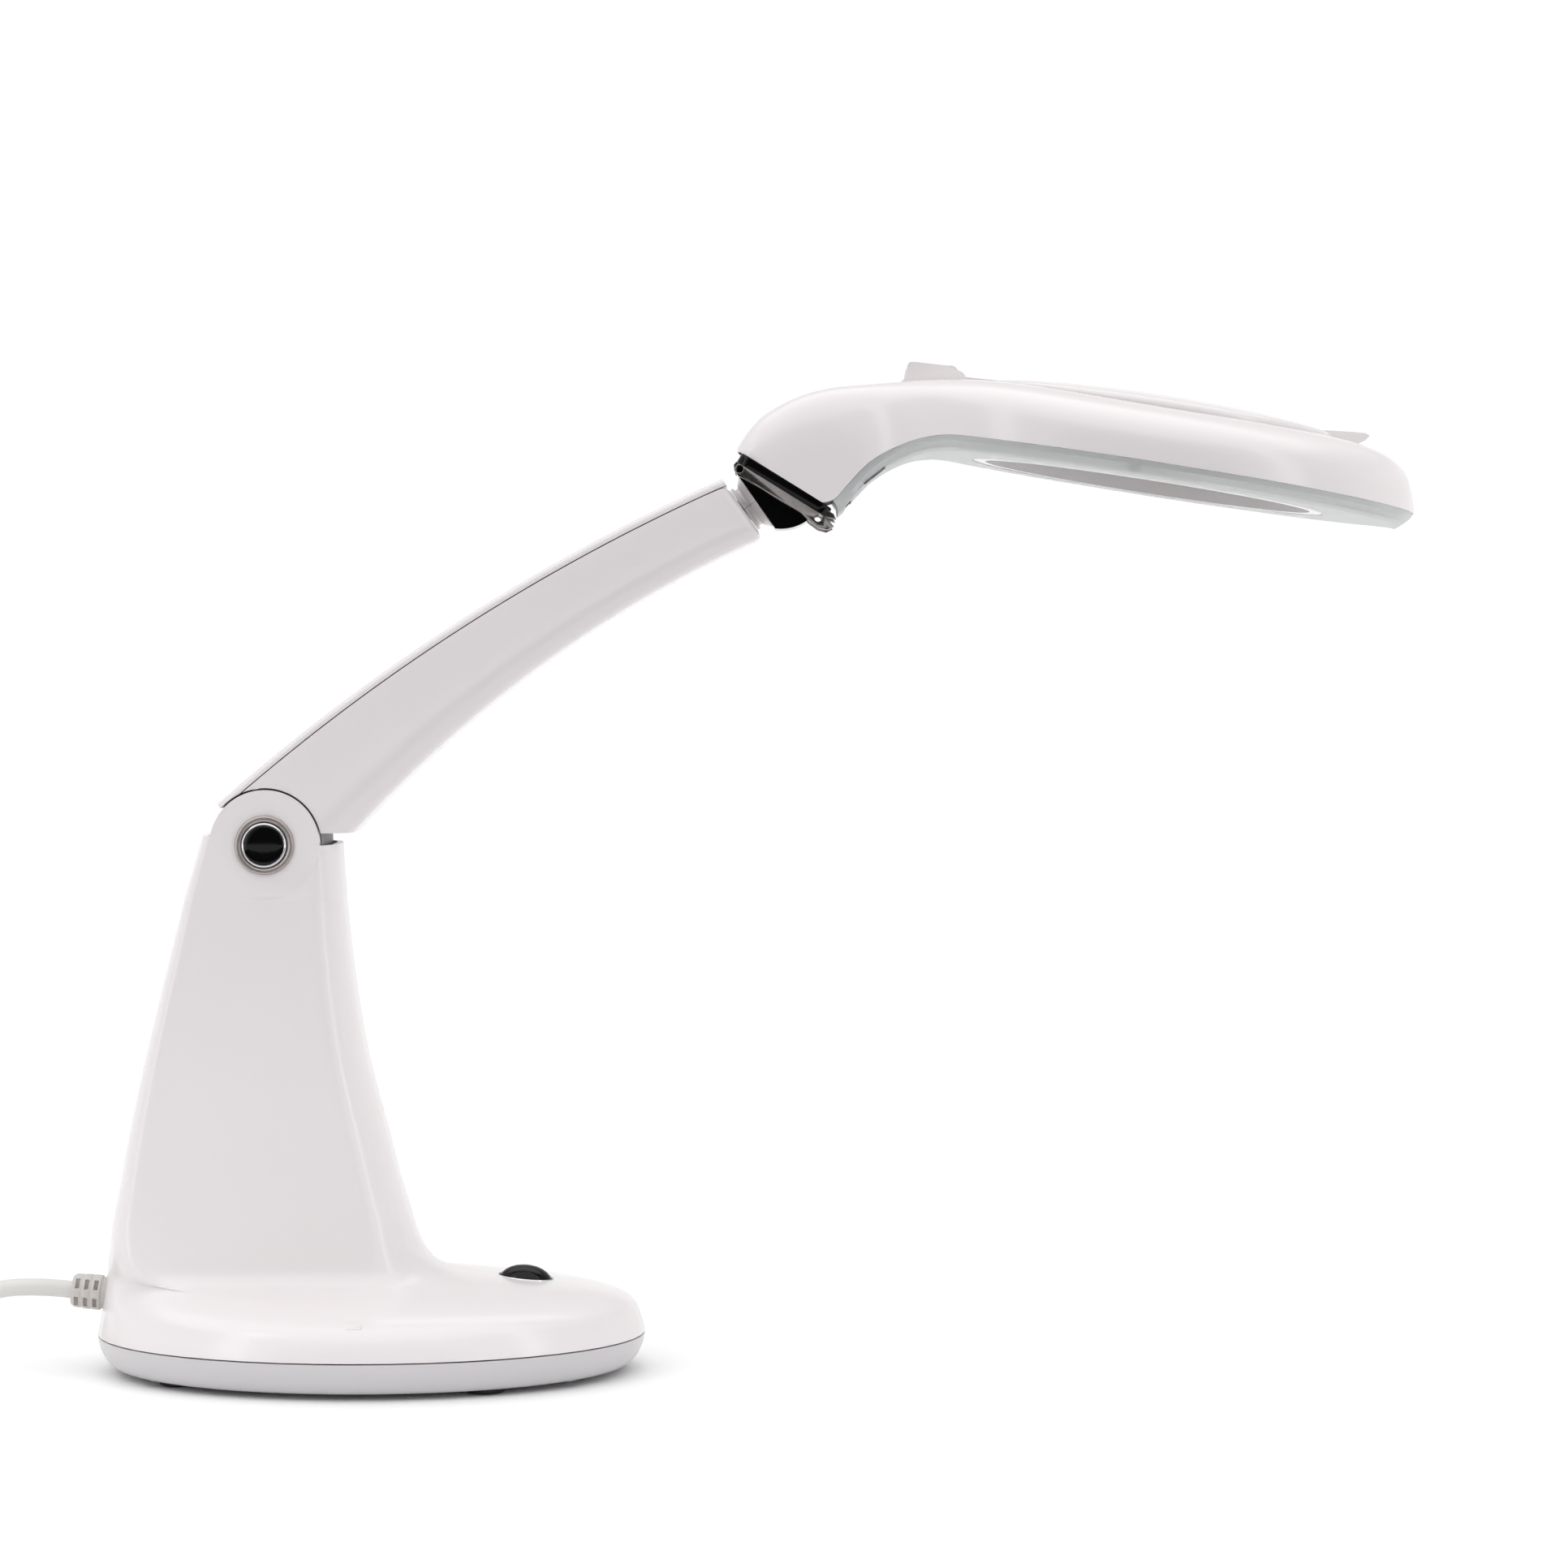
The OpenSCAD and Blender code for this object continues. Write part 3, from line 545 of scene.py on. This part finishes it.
# ---- Pivot ----
# A bolt through both ears, hidden by a black mirror cap in a satin plated ring on each side. The
# bolt, nut and washers are turned steel and brass, and the knuckle between the ears is nylon.
cap_outline = [(0, 2.5), (2.6, 2.45), (4.8, 2.3), (6.2, 2.1), (6.9, 1.8), (7.05, 1.7)]
rim_outline = [(6.85, 1.75), (7.1, 1.85), (7.45, 1.6), (7.68, 1.15), (7.7, 0.2), (6.85, 0.2), (6.85, 1.75)]
ring_outline = [
    (7.8, 0.05), (10.05, 0.05), (10.1, 0.25), (9.95, 0.8), (9.6, 1.15), (8.9, 1.2), (8.2, 0.95), (7.8, 0.6),
    (7.8, 0.05),
]
# Satin plating over ABS: warm grey, brushed round by the mould's turned finish
satin = grained(
    "satin_plated_abs", "#B9B1AE", "#A59D9A", (0.3, 0.42), patch=3, grain=0.5, depth=0.006, Metallic=0.9
)
for side, side_name in ((-1, "left"), (1, "right")):
    outwards = at_pivot @ Matrix.Translation((0, side * ear_y, 0)) @ Matrix.Rotation(
        math.radians(-90 * side), 4, "X"
    )
    dome = lathe(cap_outline, 64, outwards)
    cap = place("pivot_dome_" + side_name, dome, black_abs_and_reflection, "base", "pivot_cap_" + side_name)
    rim = place("pivot_rim_" + side_name, lathe(rim_outline, 64, outwards), chrome, "base")
    turned = lathe(ring_outline, 96, outwards)
    satin_ring = place("pivot_ring_" + side_name, turned, satin, "base", "pivot_rings")


def finish_nodes(material, *names):
    """Gives the CAD's own pieces their real finish."""
    for name in names:
        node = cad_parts[name]
        for i in range(max(1, len(node.material_slots))):
            if i < len(node.material_slots):
                node.material_slots[i].material = material
            else:
                node.data.materials.append(material)


# Bright zinc on turned or drawn steel
steel = grained(
    "zinc_plated_steel", "#BFC3C7", "#A8ACB0", (0.28, 0.42), patch=4, grain=0.4, depth=0.004, Metallic=1.0
)
finish_nodes(
    steel, "cover_screws", "hinge_bolt", "hinge_nut", "arm_screws", "swivel_tube", "swivel_nut",
    "tilt_pin", "head_screws", "cover_pin", "plug_pins",
)
# Turned brass with fine tool marks
brass = grained(
    "turned_brass", "#D9B66A", "#C49A4C", (0.25, 0.38), patch=4, grain=0.3, depth=0.005, Metallic=1.0
)
finish_nodes(brass, "friction_washers", "swivel_bush", "tilt_washers")
# Glass-filled nylon: an even mid grey with the spark-eroded grain of its mould. On the knuckle, down in the
# slot between the ears, the grey is partly painted shade
nylon = grained("grey_nylon_and_painted_shade", "#A3A0A1", "#959293", (0.45, 0.6), patch=10, grain=0.6, depth=0.02)
# The knuckle's grey is partly painted shade of the slot it sits in
finish_nodes(nylon, "arm_knuckle")
# Grey iron as cast, sealed with a thin black paint
iron = grained("painted_cast_iron", "#3A3A3C", "#29292B", (0.6, 0.8), patch=6, grain=1.0, depth=0.12)
finish_nodes(iron, "ballast_plate")
# Fibreglass board under green solder resist
resist = grained("green_solder_resist", "#1F6B42", "#17573A", (0.25, 0.4), patch=5, grain=0.8, depth=0.01)
finish_nodes(resist, "driver_board", "led_board")
# PVC insulated wire
wire = grained("red_pvc_wire", "#B3262B", "#9C1F25", (0.35, 0.5), patch=6, grain=1.0, depth=0.01)
finish_nodes(wire, "column_wiring", "arm_wiring")
# Black phenolic switch body
switch_black = grained(
    "moulded_black_phenolic", "#2A2A2B", "#1D1D1E", (0.4, 0.55), patch=5, grain=0.5, depth=0.01
)
finish_nodes(switch_black, "switch_body")
# Phosphor gel over each LED
phosphor = grained("led_phosphor_gel", "#F2E28A", "#E6CF62", (0.12, 0.2), patch=2, grain=0.4, depth=0.005)
finish_nodes(phosphor, "leds")

# ---- Arm ----
# Two glossy ABS mouldings, a deep trough and a strip that snaps over it, curved like a drawn bow.
# The trough's foot is hollowed round the ears, and its far end is square to the neck.
drum = Vector((140.9, 0, 304.9))
neck_angle = 35
along_neck = Matrix.Translation(drum) @ Matrix.Rotation(math.radians(90 - neck_angle), 4, "Y")
arm_top = (392, -302.9, 666.7)
arm_bottom = (304.8, -96.7, 419)
# Where each arc starts, and how many degrees it turns through up to the neck
top_start, top_sweep = 132, 18.2
bottom_start, bottom_sweep = 139.5, 25.4
arm_taper = 4.5
foot_gap = 0.65
strip_depth = 2.7
arm_steps = 40


def on_arc(arc, angle, outside=0.0):
    """A point on one of the arm's arcs, given as centre x, centre z and radius."""
    t = math.radians(angle)
    radius = arc[2] + outside
    return Vector((arc[0] + radius * math.cos(t), 0, arc[1] + radius * math.sin(t)))


def arm_section(k, inset=0.0, lid=0.0):
    """The trough's outline that far along the arm, open side up, inset by a wall."""
    top = on_arc(arm_top, top_start - top_sweep * k, -lid)
    low = on_arc(arm_bottom, bottom_start - bottom_sweep * k, inset)
    wide = ear_y - arm_taper * k - inset
    shape = [(-1, 0), (-1, 0.2), (-1, 0.4), (-0.995, 0.52)]
    shape += [
        (-0.5 - 0.495 * math.cos(math.radians(t)) ** 0.8, 0.58 + 0.42 * math.sin(math.radians(t)) ** 0.9)
        for t in range(8, 91, 8)
    ]
    shape += [(-0.5, 1), (-0.25, 1), (0, 1)]
    shape += [(-y, d) for y, d in reversed(shape[:-1])]
    return [top + (low - top) * d + Vector((0, wide * y, 0)) for y, d in shape]


arm_start = 0.021
arm_places = [arm_start + (1 - arm_start) * i / arm_steps for i in range(arm_steps + 1)]
end_normal = (along_neck.to_3x3() @ Vector((0, 0, 1))).normalized()
end_point = along_neck @ Vector((0, 0, -15.7))
trough_rows = [arm_section(k, 0, strip_depth + 0.2) for k in arm_places]
short_rows = [row for row in trough_rows if all((p - end_point).dot(end_normal) < -4.5 for p in row)]
trough = loft([*short_rows, arm_section(1.05, 0, strip_depth + 0.2)])
bmesh.ops.bisect_plane(
    trough, geom=trough.verts[:] + trough.edges[:] + trough.faces[:], plane_co=end_point,
    plane_no=end_normal, clear_outer=True,
)
bmesh.ops.holes_fill(trough, edges=[e for e in trough.edges if e.is_boundary])
end_edges = [
    e for e in trough.edges if all(abs((v.co - end_point).dot(end_normal)) < 0.01 for v in e.verts)
]
bmesh.ops.bevel(
    trough, geom=end_edges, offset=3, offset_type="OFFSET", segments=5, profile=0.5, affect="EDGES",
    clamp_overlap=False, material=-1,
)
arm = place("arm_trough", trough, white_abs, "arm", "arm_shell")
hollow = loft(
    [arm_section(-0.04 + 0.96 * i / arm_steps, wall, strip_depth - 2) for i in range(arm_steps + 1)]
)
carve(
    arm,
    [
        hollow,
        drill(ear_r + foot_gap, -40, 40, at_pivot @ across, sides=128),
        block((-80, -30, 120), (20, 30, 185.4)),
        drill(4.4, -40, 0, along_neck),
        drill(6.6, -50, -28.1, along_neck),
        drill(7, -28.2, -18.1, along_neck),
    ],
)
soften(arm, 0.7, angle=38, segments=3, crease=60)

strip_sections = []
for k in arm_places:
    top = on_arc(arm_top, top_start - top_sweep * k)
    low = on_arc(arm_top, top_start - top_sweep * k, -strip_depth + 0.15)
    wide = ear_y - arm_taper * k
    strip_sections.append(
        [
            top + (low - top) * d + Vector((0, wide * y, 0))
            for y, d in (
                (-1, 1), (0, 1), (1, 1), (1, 0.75), (0.995, 0.5), (0.975, 0.27), (0.93, 0.1), (0.86, 0.02),
                (0.5, 0), (0, -0.02), (-0.5, 0), (-0.86, 0.02), (-0.93, 0.1), (-0.975, 0.27), (-0.995, 0.5),
                (-1, 0.75),
            )
        ]
    )
strip = loft(strip_sections)
bmesh.ops.bisect_plane(
    strip, geom=strip.verts[:] + strip.edges[:] + strip.faces[:], plane_co=end_point, plane_no=end_normal,
    clear_outer=True,
)
bmesh.ops.holes_fill(strip, edges=[e for e in strip.edges if e.is_boundary])
arm_strip = place("arm_strip", strip, white_abs, "arm", "arm_cover")
carve(arm_strip, [drill(ear_r + foot_gap, -40, 40, at_pivot @ across, sides=128)])
soften(arm_strip, 0.8, angle=38, segments=3, crease=60)

# ---- Neck and tilt drum ----
# Two ABS half shells clamp a steel swivel tube, and the black drum that the head tilts on is
# fixed to it. The CAD's own turned shapes are the real ones.
finish_nodes(white_abs, "neck_upper", "neck_lower", "lens_ring", "reflector_tray")
finish_nodes(black_abs_and_reflection, "tilt_drum")

# ---- Head's end trim ----
# A band in black gloss closes the head's slanted end. Its black is a painted reflection, the dark mirror
# along the rim of a plated trim. It lies over a satin plated frame with rounded ends that holds the tilt
# drum between its two cheeks.
end_angle = 31.9
on_end = Matrix.Translation(drum) @ Matrix.Rotation(math.radians(end_angle), 4, "Y")
on_end = on_end @ Matrix.Translation((0, 0, 1.57))


def rounded_plate(low, high, corner, thick_from, thick_to, matrix):
    """A plate with round corners, between two corners in X and Y."""
    bm = bmesh.new()
    bmesh.ops.create_cube(bm, size=1)
    size = Vector((high[0] - low[0], high[1] - low[1], thick_to - thick_from))
    bmesh.ops.scale(bm, vec=size, verts=bm.verts)
    middle = ((low[0] + high[0]) / 2, (low[1] + high[1]) / 2, (thick_from + thick_to) / 2)
    bmesh.ops.translate(bm, vec=middle, verts=bm.verts)
    uprights = [e for e in bm.edges if abs(e.verts[0].co.z - e.verts[1].co.z) > 0.1]
    bmesh.ops.bevel(
        bm, geom=uprights, offset=corner, segments=8, profile=0.5, affect="EDGES", clamp_overlap=True,
        material=-1,
    )
    bmesh.ops.transform(bm, matrix=matrix, verts=bm.verts)
    return bm


# The band's black gloss is a painted reflection of a plated rim
band = place(
    "end_band", rounded_plate((-16.5, -20), (19.5, 20), 4, -3.6, 0, on_end), black_abs_and_reflection, "head", "end_trim"
)
carve(band, [block((-13.5, -13.6, -20), (16.3, 13.6, 20), on_end)])
soften(band, 0.4, angle=40, segments=3)


def side_plate(outline, y_from, y_to, matrix=None):
    """A plate from a side-view outline in X and Z, between two places across the lamp."""
    bm = bmesh.new()
    row = [bm.verts.new((x, y_from, z)) for x, z in outline]
    face = bmesh.ops.contextual_create(bm, geom=row)["faces"]
    made = bmesh.ops.extrude_face_region(bm, geom=face)["geom"]
    moved = [g for g in made if isinstance(g, bmesh.types.BMVert)]
    bmesh.ops.translate(bm, vec=(0, y_to - y_from, 0), verts=moved)
    bmesh.ops.recalc_face_normals(bm, faces=bm.faces)
    if matrix:
        bmesh.ops.transform(bm, matrix=matrix, verts=bm.verts)
    return bm


cheek_outline = [
    (-16.6, -3.5), (-16.8, -5), (-15.6, -6.6), (-13.4, -7.3), (-10, -6.6), (-4, -6.9), (0, -7), (5, -6.9),
    (11, -6.7), (15, -7.6), (19, -7.9), (22, -7), (23.4, -4.8), (22.8, -2.4), (21, -1.2), (19.6, -1.2),
    (19.4, -3.5),
]
# Satin chrome, brighter and smoother than the pivot rings
bright_satin = grained(
    "satin_chrome_abs", "#ABA7A5", "#8E8A88", (0.14, 0.26), patch=5, grain=0.8, depth=0.006, Metallic=1.0
)
cheek_wide = 4.5
for y_from, side_name in ((-18.2, "left"), (13.7, "right")):
    cheek = side_plate(cheek_outline, y_from, y_from + cheek_wide, on_end)
    frame_bar = place("end_frame_" + side_name, cheek, bright_satin, "head")
    pocket_places = [on_end @ Matrix.Translation((x, 0, -5.1)) @ across for x in (-14.3, 17.2)]
    carve(frame_bar, [drill(1.3, -30, 30, at, sides=32) for at in pocket_places])
    soften(frame_bar, 0.6, angle=35, segments=3)

# ---- Head ----
# One glossy ABS moulding, a tapering body that opens out into a ring. Its lower edge is a flat
# seam, its end is cut square for the trim, and the lens opening is cut through it with a softened edge.
on_ring = Matrix.Translation((274, 0, 308.1)) @ Matrix.Rotation(math.radians(9), 4, "Y")
lens_u = -6
at_lens = on_ring @ Matrix.Translation((lens_u, 0, 0))
opening_a, opening_b = 61, 47
# Each station: x, half width, the seam's height and the crown's height
stations = [
    (126, 19, 296, 317.5), (129, 19.6, 296, 322), (133.3, 20, 296.2, 327), (138, 20.2, 296.6, 330.3),
    (144, 20.4, 297, 333.6), (151, 20.7, 297.6, 336.2), (158.5, 21, 298.8, 337.9),
    (163, 21.4, 303.4, 338.4), (170.6, 23, 311.3, 339), (179, 26.6, 316.2, 339.5),
    (188, 33, 319.2, 340), (197, 41, 320, 340),
    (208, 49.5, 318.5, 339.6), (222, 57, 316.3, 338), (238, 62.6, 313.8, 335.4), (256, 65.5, 311, 332.4),
    (274, 66, 308.1, 329.5), (292, 64, 305.3, 326.6), (308, 59.5, 302.8, 323.9), (322, 53, 300.5, 321.4),
    (334, 44.5, 298.6, 319), (344, 34, 297, 316), (351, 23.5, 295.9, 312.3), (355.6, 14, 295.2, 307.6),
    (358.4, 5, 294.7, 299.5),
]
squareness = 0.45
crown_rise = 0.62


def head_slice(x, wide, low, high, inset=0.0, drop=0.0):
    """One slice of the head, flat on its seam, inset by a wall and dropped below the seam."""
    wide, rise = max(wide - inset, 1), max(high - low - inset, 1)
    points = [(x, wide, low - drop)]
    for i in range(41):
        t = math.radians(4.5 * i)
        c, s = math.cos(t), max(math.sin(t), 0)
        y = wide * math.copysign(abs(c) ** squareness, c)
        points.append((x, y, low + 0.002 + rise * s**crown_rise))
    return [*points, (x, -wide, low - drop)]


head_rows = through(stations, 3)
head_skin = loft([head_slice(*row, drop=0.05) for row in head_rows])
head = place("head_moulding", head_skin, white_abs, "head", "head_shell")
inner_rows = [row for row in head_rows[1:] if row[0] < 353]
inner_rows = [(124, *head_rows[0][1:]), *inner_rows, (355.4, 11, 295.2, 306)]
lug_outline = [
    (180, 337.5), (183.6, 341), (184.2, 345.2), (184.9, 346.1), (186.5, 346.2), (198, 344.9), (203, 342.6),
    (206.5, 338),
]
carve(head, [loft([head_slice(*row, inset=wall, drop=3) for row in inner_rows])])
carve(head, [side_plate(lug_outline, y, y + 4) for y in (-14.4, 10.4)], "UNION")
hinge = Matrix.Translation((199, 0, 342.6)) @ across
carve(
    head,
    [
        block((-60, -60, -80), (60, 60, 0), on_end),
        drill(opening_a, -20, 40, at_lens, across=opening_b / opening_a, sides=160),
        drill(3.4, -10.4, 10.4, hinge),
        block((199, -10.4, 338.3), (213, 10.4, 346)),
        drill(1.25, -13.7, 13.7, hinge),
    ],
)
soften(head, 0.6, angle=38, segments=3, crease=60)

# ---- Diffuser ----
# A shallow clear acrylic tray snapped to the seam from below, frosted inside, with a small step
# round its rim.
frosted = grained(
    "frosted_clear_acrylic", "#F4F6F6", "#EDF0F0", (0.28, 0.42), patch=20, grain=0.5, depth=0.01, IOR=1.49,
    **{"Transmission Weight": 0.6},
)
tray_depth = 5.2
tray_profile = [(0, -0.15), (0.4, -2), (1.2, -2.3), (2.5, -4.1), (6, -5), (13, -5.2)]


def tray_section(x, wide, seam, inset=0.0, rise=0.0):
    """The tray's outline at one station; its step shrinks with the width near the nose."""
    fit = min(1, wide / 16)
    side = [(max(wide - inset - d * fit, 0.4), seam + z * (1 - rise)) for d, z in tray_profile]
    if rise:
        side[0] = (side[0][0], seam + 2)
    lean = 1.8 * max(0, min(1, (188 - x) / 14))
    tuck = 6 * max(0, (x - 345) / 13.4) ** 2
    half = []
    for y, z in side:
        deep = seam - z
        shift = lean * min(1, deep / 2.6) - tuck * max(0, min(1, deep / tray_depth)) ** 1.5
        half.append((x + shift, y, z))
    return half + [(px, -y, z) for px, y, z in reversed(half)]


tray_rows = [row for row in head_rows if row[0] > 158.4]
tray = place(
    "diffuser_tray", loft([tray_section(*row[:3]) for row in tray_rows]), frosted, "head", "diffuser"
)
at_vents = Matrix.Translation((173.5, 0, 306.2)) @ Matrix.Rotation(math.radians(-38), 4, "Y")
tray_inner = [(161.5, *tray_rows[0][1:]), *[row for row in tray_rows if 163 < row[0] < 354]]
carve(
    tray,
    [
        loft([tray_section(*row[:3], inset=1.8, rise=0.3) for row in tray_inner]),
        drill(opening_a, -20, 40, at_lens, across=opening_b / opening_a, sides=128),
        *[block((-4.5, -30, z - 0.4), (4.5, 30, z + 0.4), at_vents) for z in (-1.2, 1.2)],
    ],
)
soften(tray, 0.3, angle=40, crease=60)
clip_y = 61.6
clips = bmesh.new()
for side in (-1, 1):
    clip = block((255.8, side * clip_y - 1.2, 307.4), (259.2, side * clip_y + 1.2, 311))
    clip_mesh = bpy.data.meshes.new("clip")
    clip.to_mesh(clip_mesh)
    clip.free()
    clips.from_mesh(clip_mesh)
    bpy.data.meshes.remove(clip_mesh)
clip_piece = place("tray_clips", clips, nylon, "head")
soften(clip_piece, 0.3)

# ---- Lens ----
# Polished optical acrylic, thicker in the middle, held in the CAD's own lens ring.
clear_acrylic = grained(
    "polished_clear_acrylic", "#FBFEFD", "#F4FAF8", (0.0, 0.02), patch=40, grain=5, depth=0.001, IOR=1.49,
    **{"Transmission Weight": 1.0},
)
lens_r = 57.9
lens_edge = 1.5
lens_bulge = 3.5
lens_outline = [(0, 5)]
for i in range(1, 17):
    share = i / 16
    lens_outline.append((lens_r * share, lens_edge + lens_bulge * (1 - share * share)))
lens_outline += [(r, -z) for r, z in reversed(lens_outline[:])]
lens = place(
    "magnifying_lens",
    lathe(lens_outline, 128, at_lens @ Matrix.Translation((0, 0, 8)), (1, 44 / 58, 1)),
    clear_acrylic,
    "head",
    "lens",
)

# ---- Lens cover ----
# A thin white ABS lid nested in the opening, with a lift tab at the front and a hinge barrel
# between the head's two lugs.
cover_levels = [
    (19.4, 60.5, 46.5), (20.6, 60.4, 46.4), (21.7, 60, 46), (22.4, 58.8, 44.9), (23.1, 55, 41.5),
    (24.2, 47.5, 35), (25.2, 36, 26), (25.7, 24, 17), (25.9, 10, 7),
]
under_levels = [(18.4, 58.8, 44.8), (20.6, 58.2, 44.2), (22.4, 50, 37), (23.5, 36, 26.5), (24.1, 12, 9)]
lid = place(
    "lens_lid",
    loft(
        [
            [at_lens @ Vector((x, y, w)) for x, y in superellipse(a, b, 2, 128)]
            for w, a, b in through(cover_levels, 3)
        ]
    ),
    white_abs,
    "cover",
    "lens_cover",
)
tab_outline = [
    (318, 323.5), (330, 323), (338, 322.5), (341.4, 322.1), (342.8, 321.2), (341.2, 319.6),
    (338.5, 318.4), (334, 319.2), (325, 321.1), (318, 322.3),
]
leaf_outline = [(199, 339.9), (226, 337), (226, 338.4), (218, 339.9), (199, 341.8)]
carve(
    lid,
    [side_plate(tab_outline, -9, 9), side_plate(leaf_outline, -9.5, 9.5), drill(2.7, -9.8, 9.8, hinge)],
    "UNION",
)
carve(
    lid,
    [
        drill(1.25, -20, 20, hinge),
        loft(
            [
                [at_lens @ Vector((x, y, w)) for x, y in superellipse(a, b, 2, 96)]
                for w, a, b in through(under_levels, 2)
            ]
        ),
    ],
)
soften(lid, 0.4, angle=38, segments=3, crease=60)

# ---- Table and light ----
# A bright white flat table: a white surround, brightest near the horizon and unlit behind the camera, a
# broad soft key from above, and two tall strips that draw long highlights down the gloss.
table = bmesh.new()
bmesh.ops.create_circle(table, cap_ends=True, segments=96, radius=6000)
bmesh.ops.translate(table, vec=(0, 0, -0.2), verts=table.verts)
bmesh.ops.transform(table, matrix=to_frame, verts=table.verts)
table_mesh = bpy.data.meshes.new("table")
table.to_mesh(table_mesh)
table.free()
# Matt white laminate
table_mesh.materials.append(
    grained("matt_white_laminate", "#FAFAFA", "#F6F6F6", (0.75, 0.85), patch=200, grain=2, depth=0.01)
)
table_piece = bpy.data.objects.new("table", table_mesh)
bpy.context.scene.collection.objects.link(table_piece)


# A black felt card lies low in front of the lamp, out of the camera's sight, and takes some of the
# table's glow off the undersides.
card = place(
    "felt_card",
    block((-600, -1300, 14), (900, -330, 15)),
    grained("black_felt", "#0A0A0A", "#040404", (0.9, 1.0), patch=30, grain=2, depth=0.2),
    "base",
)
card.visible_camera = False
card.visible_shadow = False


def light(kind, name, energy, place_at, aim, **settings):
    """A lamp of the scene, aimed at a point; places are millimetres."""
    data = bpy.data.lights.new(name, kind)
    data.energy = energy
    for key, value in settings.items():
        setattr(data, key, value)
    piece = bpy.data.objects.new(name, data)
    piece.location = to_frame @ Vector(place_at)
    piece.rotation_euler = (Vector(aim) - Vector(place_at)).to_track_quat("-Z", "Y").to_euler()
    piece.visible_camera = False
    bpy.context.scene.collection.objects.link(piece)


light("SUN", "key", 1.75, (100, -200, 1500), (140, 0, 200), angle=math.radians(95))
strip = {"shape": "RECTANGLE", "size": 0.25, "size_y": 1.6}
light("AREA", "strip_left", 2.6, (-900, -900, 500), (100, 0, 200), **strip)
light("AREA", "strip_right", 2.6, (1300, -900, 500), (150, 0, 200), **strip)

world = bpy.data.worlds.new("surround")
bpy.context.scene.world = world
world.use_nodes = True
sky = world.node_tree
direction = add(sky, "ShaderNodeTexCoord").outputs["Generated"]
parts = add(sky, "ShaderNodeSeparateXYZ", {"Vector": direction}).outputs
rising = {"Value": parts["Z"], "From Min": 0.2, "From Max": 0.4, "To Min": 1.02, "To Max": 0.6}
upper = add(sky, "ShaderNodeMapRange", rising, interpolation_type="SMOOTHSTEP").outputs["Result"]
# The side of the room behind the camera is unlit
behind = {"Value": parts["Y"], "From Min": -0.93, "From Max": -0.8, "To Min": 0.03, "To Max": 1}
unlit = add(sky, "ShaderNodeMapRange", behind, interpolation_type="SMOOTHSTEP").outputs["Result"]
level = add(sky, "ShaderNodeMath", {0: upper, 1: unlit}, operation="MULTIPLY").outputs["Value"]
add(sky, sky.nodes["Background"], {"Strength": level, "Color": (1, 1, 1, 1)})
